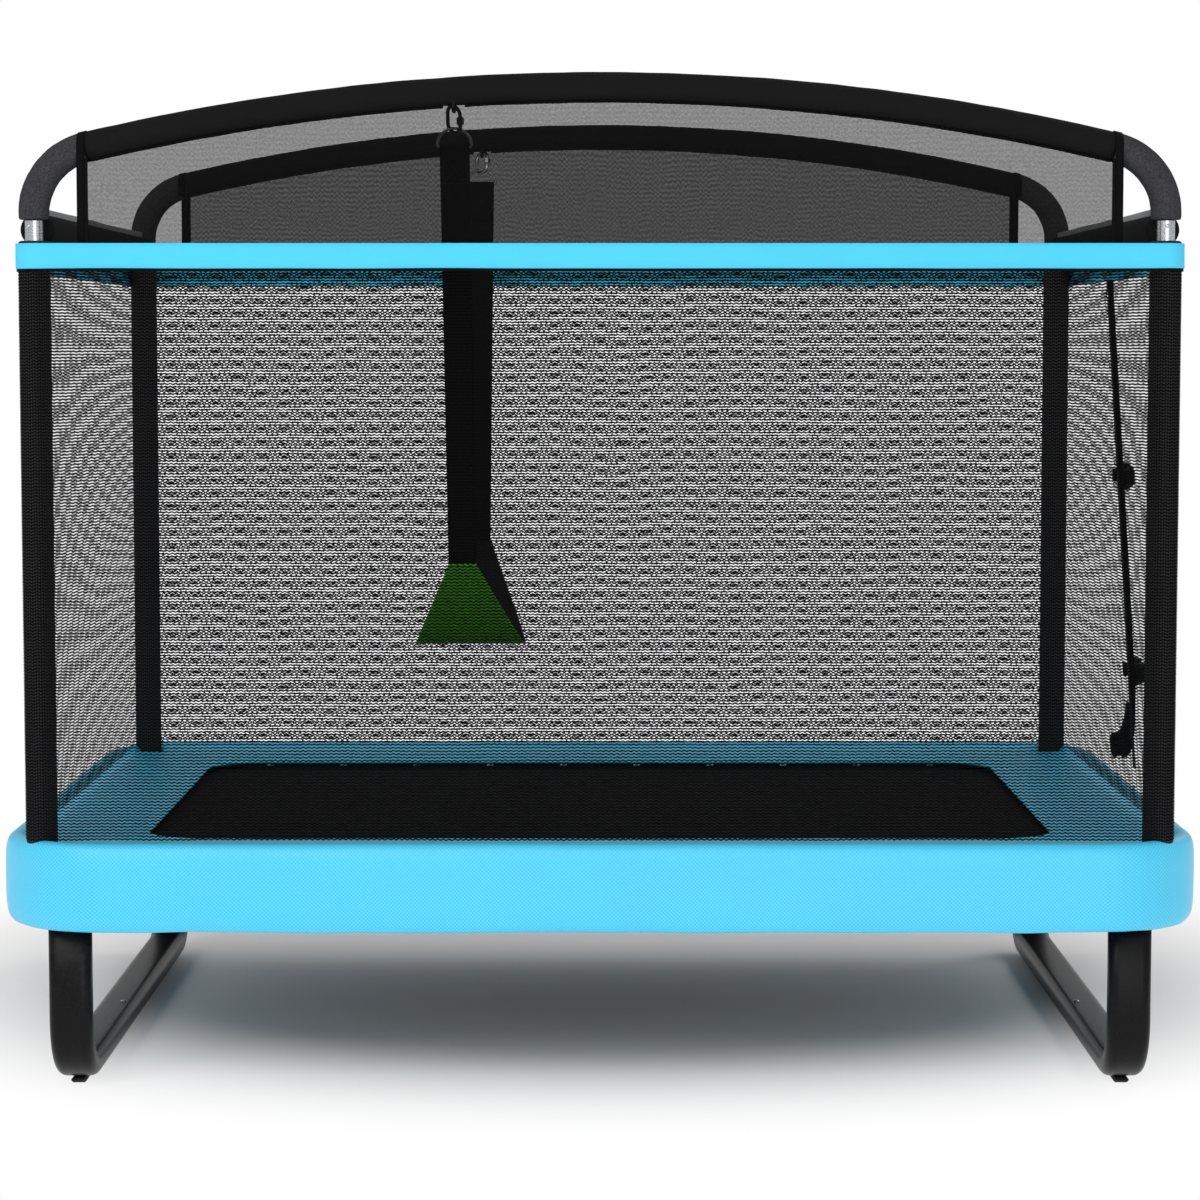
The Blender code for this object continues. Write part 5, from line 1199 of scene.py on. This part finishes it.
cover_mesh.from_pydata([(COVER_X, y, z) for y, z in cover_edge], [],
                       [list(range(len(cover_edge)))])
layer(cover_mesh, cover_edge)
cover_mesh.materials.append(sleeve_fabric)
cover = bpy.data.objects.new("cover_flap", cover_mesh)
bpy.context.scene.collection.objects.link(cover)
thickened(cover, 0.0015)
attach(cover, "frame")
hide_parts("zip_cover")
piping = tube("cover_piping", [(COVER_X + 0.0003, y, z) for y, z in cover_edge], 0.0014, tape_and_band_shade,
              sides=10, loop=True)

# ---- door buckles ----
# Two side-release buckles hold the cover shut. Each half hangs on a short tab of webbing sewn to
# the cover or to the wall.

PRONG_REACH = 0.024
BUCKLE_THICKNESS = 0.018
BUCKLE_HEIGHTS = {"upper": 0.955, "lower": 0.626}
BUCKLE_LOW = COVER_X + (cover_high.x - cover_low.x) / 2 + 0.0003
BUCKLE_HIGH = BUCKLE_LOW + BUCKLE_THICKNESS
for level, height in BUCKLE_HEIGHTS.items():
    mouth = seam_y(height)
    female = block(f"socket_{level}", (BUCKLE_LOW, mouth, height - 0.023),
                   (BUCKLE_HIGH, mouth + 0.038, height + 0.023), moulded, None, bevel=0.0042,
                   segments=4)
    cavity = block("cavity", (BUCKLE_LOW + 0.004, mouth - 0.01, height - 0.018),
                   (BUCKLE_HIGH - 0.004, mouth + 0.030, height + 0.018), moulded, None)
    windows = block("windows", (BUCKLE_LOW + 0.0035, mouth + 0.0095, height - 0.05),
                    (BUCKLE_HIGH - 0.0035, mouth + 0.0225, height + 0.05), moulded, None)
    cut_away(female, cavity, windows)
    rib_y = mouth + 0.031
    grips = [block("grip", (BUCKLE_HIGH - 0.0008, rib_y + 0.0022 * k, height - 0.014),
                   (BUCKLE_HIGH + 0.0005, rib_y + 0.0022 * k + 0.0010, height + 0.014), moulded,
                   None, bevel=0.0003, segments=2) for k in range(3)]
    female = joined(f"buckle_socket_{level}", [female, *grips])
    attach(female, "frame")
    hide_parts(f"buckle_female_{level}")

    male = block("male", (BUCKLE_LOW, mouth - 0.030, height - 0.017),
                 (BUCKLE_HIGH, mouth - 0.0003, height + 0.017), moulded, None, bevel=0.0036,
                 segments=4)
    slot = block("slot", (BUCKLE_LOW - 0.01, mouth - 0.025, height - 0.012),
                 (BUCKLE_HIGH + 0.01, mouth - 0.019, height + 0.012), moulded, None)
    cut_away(male, slot)
    prongs = []
    for sign in (-1, 0, 1):
        middle = height + sign * 0.0135
        wide = 0.003 if sign else 0.0024
        prongs.append(block("prong", (BUCKLE_LOW + 0.0044, mouth - 0.006, middle - wide),
                            (BUCKLE_HIGH - 0.0044, mouth + PRONG_REACH, middle + wide), moulded,
                            None, bevel=0.0012))
    male = joined(f"buckle_plug_{level}", [male, *prongs])
    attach(male, f"buckle_{level}")
    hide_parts(f"buckle_male_{level}")

    tab_x = (BUCKLE_LOW + BUCKLE_HIGH) / 2
    bar_y = mouth - 0.0275
    path = [(BUCKLE_LOW - 0.0001, bar_y - 0.034), (BUCKLE_LOW + 0.0004, bar_y - 0.018),
            (tab_x - 0.003, bar_y - 0.008), (tab_x + 0.0085, bar_y - 0.0045),
            (BUCKLE_HIGH + 0.0012, bar_y - 0.001), (BUCKLE_HIGH + 0.0012, bar_y + 0.0035),
            (BUCKLE_HIGH - 0.002, bar_y + 0.0052), (BUCKLE_LOW + 0.002, bar_y + 0.0052),
            (BUCKLE_LOW + 0.0010, bar_y + 0.001)]
    rings = [[(x, y, height + h) for h in (-0.0112, 0.0, 0.0112)] for x, y in path]
    tab = skin(f"plug_tab_{level}", rings, webbing, None, across=False)
    thickened(tab, 0.0013)
    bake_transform(tab)
    path = [(BUCKLE_LOW + 0.006, mouth + 0.0372), (BUCKLE_LOW + 0.004, mouth + 0.041),
            (NET_FACE + 0.0012, mouth + 0.049), (NET_FACE + 0.0012, mouth + 0.085)]
    rings = [[(x, y, height + h) for h in (-0.0112, 0.0, 0.0112)] for x, y in path]
    tab = skin(f"socket_tab_{level}", rings, webbing, None, across=False)
    thickened(tab, 0.0013)
    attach(tab, "frame")

# ---- quick links ----
# An oval steel link with a hexagonal nut hangs from each eye and takes the strap's ring. The front
# link is drawn in a dark copy of the steel, painted shade as if backlit; the back one is bright
# zinc.

eye_z = arch_height(SWING_X) - 0.0291
SEAT_HALF_LENGTH = 0.341
SEAT_END_HEIGHT = 0.821
LEAN = math.atan2(POST_Y - SEAT_HALF_LENGTH, eye_z - SEAT_END_HEIGHT)
CHAIN_LENGTH = math.hypot(POST_Y - SEAT_HALF_LENGTH, eye_z - SEAT_END_HEIGHT)
HOOK = 0.007715
LINK_FOOT = 0.034285
LINK_HALF_WIDTH = 0.0135


def chain_frame(sy):
    """Its origin at the eye, X along the object's X and Y down the strap."""
    down = Vector((0.0, -sy * math.sin(LEAN), -math.cos(LEAN)))
    across = Vector((1.0, 0.0, 0.0))
    made = Matrix((across, down, across.cross(down))).transposed().to_4x4()
    made.translation = (SWING_X, sy * POST_Y, eye_z)
    return made


# A dark copy of the link steel for the front link only: painted shade, as if backlit.
shaded_front_link_steel = surface("front_link_steel_painted_shade", (0.020, 0.020, 0.021), (0.034, 0.034, 0.036),
                     (0.25, 0.38), grain, {"Scale": 700.0}, 0.00003, mottled=0.2,
                     worn_to=(0.16, 0.16, 0.16))
for end, sy in ENDS.items():
    # The front link takes the dark copy (painted shade), the back one bright zinc.
    finish = shaded_front_link_steel if end == "front" else zinc
    turned = chain_frame(sy) @ Matrix.Rotation(math.radians(42), 4, "Y")
    outline = arc((0.0, LINK_HALF_WIDTH - HOOK), LINK_HALF_WIDTH, 180, 360, 20)
    outline += arc((0.0, LINK_FOOT - LINK_HALF_WIDTH), LINK_HALF_WIDTH, 0, 180, 20)
    link = tube("link", [turned @ Vector((a, b, 0.0)) for a, b in outline], 0.003, finish, None,
                sides=20, loop=True)
    middle = (LINK_FOOT - HOOK) / 2
    nut_path = [(middle + s, r) for s, r in ((-0.0055, 0.0048), (-0.0048, 0.0060),
                                             (0.0048, 0.0060), (0.0055, 0.0048))]
    nut = tube("nut", [turned @ Vector((LINK_HALF_WIDTH, b, 0.0)) for b, _ in nut_path],
               [r for _, r in nut_path], finish, None, sides=6)
    nut.data.set_sharp_from_angle(angle=math.radians(30))
    threads = [tube("thread", [turned @ Vector((LINK_HALF_WIDTH + 0.0031 * math.cos(a),
                                                middle + 0.0062 + 0.0008 * k,
                                                0.0031 * math.sin(a)))
                               for a in np.linspace(0, 2 * math.pi, 13)[:-1]], 0.00035, finish,
                    None, sides=5, loop=True) for k in range(4)]
    link = joined(f"link_{end}", [link, nut, *threads])
    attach(link, f"link_{end}")
    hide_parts(f"quick_link_{end}")

# ---- strap rings ----
# A D-ring of dark steel wire hangs in each link and carries the webbing on its straight bar.

RING_TOP = 0.027585
RING_BAR = 0.056585
RING_REACH = 0.0285 - 0.0022
ring_steel = surface("smoked_steel", (0.30, 0.30, 0.31), (0.38, 0.38, 0.39), (0.22, 0.32), grain,
                     {"Scale": 700.0}, 0.00002, metallic=1.0, mottled=0.1, shine=0.5)
for end, sy in ENDS.items():
    placed = chain_frame(sy)
    outline = arc((0.0, RING_TOP + RING_REACH), RING_REACH, 180, 360, 28)
    straight = RING_REACH - 0.0025
    outline += arc((straight, RING_BAR - 0.0025), 0.0025, 0, 90, 5)
    outline += arc((-straight, RING_BAR - 0.0025), 0.0025, 90, 180, 5)
    ring = tube(f"strap_ring_{end}", [placed @ Vector((a, b, 0.0)) for a, b in outline], 0.0022,
                ring_steel, "swing", sides=18, loop=True)
    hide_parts(f"d_ring_{end}")

# ---- swing straps ----
# Wide black webbing, looped round each ring's bar and sewn to itself with a box of stitches, then
# sewn to the end of the seat.

WEB_HALF = 0.0465 / 2
SEAT_LOW = 0.661
SEAT_ROUND = 0.25


def seat_height(share):
    """Height of the sling's centreline at a share of its half length."""
    rise = math.hypot(share, SEAT_ROUND) - SEAT_ROUND
    full = math.hypot(1.0, SEAT_ROUND) - SEAT_ROUND
    return SEAT_LOW + (SEAT_END_HEIGHT - SEAT_LOW) * rise / full


stitch_black = surface("black_stitches", (0.020, 0.020, 0.021), (0.045, 0.045, 0.047),
                       (0.45, 0.6), weave, {"Across": 0.0006, "Along": 0.0008}, 0.0001,
                       mottled=0.1)
for end, sy in ENDS.items():
    placed = chain_frame(sy)
    loop = 0.0022 + 0.0003 + 0.0009
    side = [(-0.0011, RING_BAR + 0.075), (-0.0011, RING_BAR + 0.03), (-0.0020, RING_BAR + 0.010)]
    side += [(loop * math.sin(a), RING_BAR - loop * math.cos(a))
             for a in np.linspace(-0.62 * math.pi, 0.62 * math.pi, 18)]
    side += [(0.0012, RING_BAR + 0.010), (0.0008, RING_BAR + 0.03), (0.0007, RING_BAR + 0.078)]
    side += [(0.0, b) for b in np.linspace(RING_BAR + 0.085, CHAIN_LENGTH + 0.0015, 60)]
    rings, uv = [], []
    runs = np.cumsum([0.0] + [math.dist(a, b) for a, b in zip(side, side[1:])])
    for run, (out, b) in zip(runs, side):
        twist = 0.0012 * noise.noise(Vector((b * 6, sy, 0.0)))
        rings.append([placed @ Vector((a, b, sy * out + twist * a / WEB_HALF))
                      for a in np.linspace(-WEB_HALF, WEB_HALF, 9)])
        uv.append([(a, run) for a in np.linspace(-WEB_HALF, WEB_HALF, 9)])
    strap = skin(f"strap_{end}", rings, webbing, None, across=False, uv=uv)
    thickened(strap, 0.0017)
    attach(strap, "swing")
    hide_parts(f"swing_strap_{end}")
    marks = []
    lines = [((-0.018, RING_BAR + 0.016), (0.018, RING_BAR + 0.016)),
             ((-0.018, RING_BAR + 0.060), (0.018, RING_BAR + 0.060)),
             ((-0.018, RING_BAR + 0.016), (-0.018, RING_BAR + 0.060)),
             ((0.018, RING_BAR + 0.016), (0.018, RING_BAR + 0.060)),
             ((-0.018, RING_BAR + 0.016), (0.018, RING_BAR + 0.060)),
             ((0.018, RING_BAR + 0.016), (-0.018, RING_BAR + 0.060))]
    for (ax, ay), (bx, by) in lines:
        length = math.dist((ax, ay), (bx, by))
        count = int(length / 0.0036)
        for k in range(count):
            for face in (-1, 1):
                lift = 0.0019 if face < 0 else 0.0016
                ends = [placed @ Vector((ax + (bx - ax) * (k + s) / count,
                                         ay + (by - ay) * (k + s) / count, sy * face * lift))
                        for s in (0.1, 0.5, 0.9)]
                marks.append(tube("mark", ends, [0.0002, 0.0004, 0.0002], stitch_black, None,
                                  sides=5))
    stitched = joined(f"strap_stitches_{end}", marks)
    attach(stitched, "swing")

# ---- swing seat ----
# A sling of green coated fabric, lined with black. Its ends are gathered to the width of the
# straps.

seat_green = surface("green_seat_fabric", (0.0810, 0.3915, 0.0162), (0.1215, 0.5130, 0.0270),
                     (0.55, 0.75), weave, {"Across": 0.0018, "Along": 0.0018}, 0.0004,
                     mottled=0.2)
SEAT_WIDTH = 0.192


def seat_point(s, t, lift=0.0):
    """A place on the sling, across by s and along by t, lifted above its middle surface."""
    y = (2 * t - 1) * (SEAT_HALF_LENGTH + 0.004)
    share = min(abs(y) / SEAT_HALF_LENGTH, 1.0)
    rise = (seat_height(share) - SEAT_LOW) / (SEAT_END_HEIGHT - SEAT_LOW)
    width = SEAT_WIDTH + (0.0465 - SEAT_WIDTH) * rise
    across = 2 * s - 1
    pleat = 0.0012 * math.sin(across * 14) * share ** 3
    x = SWING_X + across * width / 2
    z = seat_height(abs(y) / SEAT_HALF_LENGTH) + pleat
    return (x, y, z + lift)


half_slope = [math.hypot(b - a, (seat_height(abs(b) / SEAT_HALF_LENGTH)
                                 - seat_height(abs(a) / SEAT_HALF_LENGTH)))
              for a, b in zip(np.linspace(-0.345, 0.345, 91), np.linspace(-0.345, 0.345, 91)[1:])]
seat_run = np.concatenate([[0.0], np.cumsum(half_slope)])
seat_uv = [[((2 * s - 1) * SEAT_WIDTH / 2, run) for s in np.linspace(0, 1, 25)]
           for run in seat_run]
seat = cloth("sling_seat", lambda s, t: seat_point(s, t, -0.0006), 90, 24, seat_green, None,
             uv=seat_uv)
thickened(seat, 0.0012)
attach(seat, "swing")
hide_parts("swing_seat")
lining = cloth("sling_lining", lambda s, t: seat_point(s, t, 0.0006), 90, 24, sleeve_fabric, None,
               uv=seat_uv)
thickened(lining, 0.0010)
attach(lining, "swing")

# ---- floor, light and camera ----
# A pale seamless floor under soft studio light, with a white background; the floor keeps the
# object's shadow.

floor_finish = bpy.data.materials.new("pale_floor")
floor_finish.use_nodes = True
tree = floor_finish.node_tree
shader = tree.nodes["Principled BSDF"]
shader.inputs["Roughness"].default_value = 0.9
shader.inputs["Specular IOR Level"].default_value = 0.0
speck = use(tree, mottle, Scale=1.5, Amount=0.01)
grey = tree.nodes.new("ShaderNodeCombineColor")
for socket in grey.inputs:
    tree.links.new(speck.outputs["Factor"], socket)
tone = mixed(tree, 1.0, (0.99, 0.962, 0.945), grey.outputs[0], "MULTIPLY")
tree.links.new(tone, shader.inputs["Base Color"])
place = tree.nodes.new("ShaderNodeTexCoord")
parts = tree.nodes.new("ShaderNodeSeparateXYZ")
tree.links.new(place.outputs["Object"], parts.inputs[0])
across = math_node(tree, "DIVIDE", parts.outputs[0], 1.35)
backwards = math_node(tree, "DIVIDE", math_node(tree, "SUBTRACT", parts.outputs[1], 0.45), 1.15)
length = math_node(tree, "ADD", math_node(tree, "MULTIPLY", across, across),
                   math_node(tree, "MULTIPLY", backwards, backwards))
white = tree.nodes.new("ShaderNodeEmission")
white.inputs["Strength"].default_value = 1.0
white.inputs["Color"].default_value = (1.0, 1.0, 1.0, 1.0)
faded = tree.nodes.new("ShaderNodeMixShader")
tree.links.new(eased(tree, math_node(tree, "SQRT", length), 0.62, 1.22), faded.inputs[0])
tree.links.new(shader.outputs[0], faded.inputs[1])
tree.links.new(white.outputs[0], faded.inputs[2])
tree.links.new(faded.outputs[0], tree.nodes["Material Output"].inputs["Surface"])

floor_mesh = bpy.data.meshes.new("floor")
floor_mesh.from_pydata([(-30, -14, 0), (30, -14, 0), (30, 40, 0), (-30, 40, 0)], [],
                       [(0, 1, 2, 3)])
floor_mesh.materials.append(floor_finish)
floor = bpy.data.objects.new("floor", floor_mesh)
bpy.context.scene.collection.objects.link(floor)

world = bpy.data.worlds.new("studio")
bpy.context.scene.world = world
world.use_nodes = True
tree = world.node_tree
tree.nodes.clear()
output = tree.nodes.new("ShaderNodeOutputWorld")
fill = tree.nodes.new("ShaderNodeBackground")
fill.inputs["Color"].default_value = (1.0, 1.0, 1.0, 1.0)
fill.inputs["Strength"].default_value = 0.56
white = tree.nodes.new("ShaderNodeBackground")
white.inputs["Color"].default_value = (1.0, 1.0, 1.0, 1.0)
white.inputs["Strength"].default_value = 1.0
rays = tree.nodes.new("ShaderNodeLightPath")
seen = math_node(tree, "MAXIMUM", rays.outputs["Is Camera Ray"],
                 rays.outputs["Is Transmission Ray"])
mix = tree.nodes.new("ShaderNodeMixShader")
tree.links.new(seen, mix.inputs[0])
tree.links.new(fill.outputs[0], mix.inputs[1])
tree.links.new(white.outputs[0], mix.inputs[2])
tree.links.new(mix.outputs[0], output.inputs["Surface"])


def softbox(name, place, target, size, power):
    """A square area light that looks at a point."""
    light = bpy.data.lights.new(name, "AREA")
    light.shape = "SQUARE"
    light.size = size
    light.energy = power
    made = bpy.data.objects.new(name, light)
    made.location = place
    made.rotation_euler = (Vector(target) - Vector(place)).to_track_quat("-Z", "Y").to_euler()
    bpy.context.scene.collection.objects.link(made)
    return made


softbox("key", (-2.6, -5.0, 4.2), (0.0, 0.0, 0.7), 3.0, 127.0)
softbox("front_fill", (1.5, -7.0, 2.2), (0.0, 0.0, 0.8), 4.0, 95.0)
softbox("rim", (3.6, 3.4, 4.2), (0.0, 0.0, 0.8), 2.0, 40.0)

camera = bpy.data.cameras.new("camera")
camera.lens = 97.5
camera.sensor_width = 36.0
camera.dof.use_dof = False
viewer = bpy.data.objects.new("camera", camera)
viewer.location = (0.0, -5.699, 1.182)
viewer.rotation_euler = (math.radians(90 - 4.469), 0.0, 0.0)
bpy.context.scene.collection.objects.link(viewer)
bpy.context.scene.camera = viewer
bpy.context.scene.view_settings.view_transform = "Standard"

bpy.context.view_layer.update()
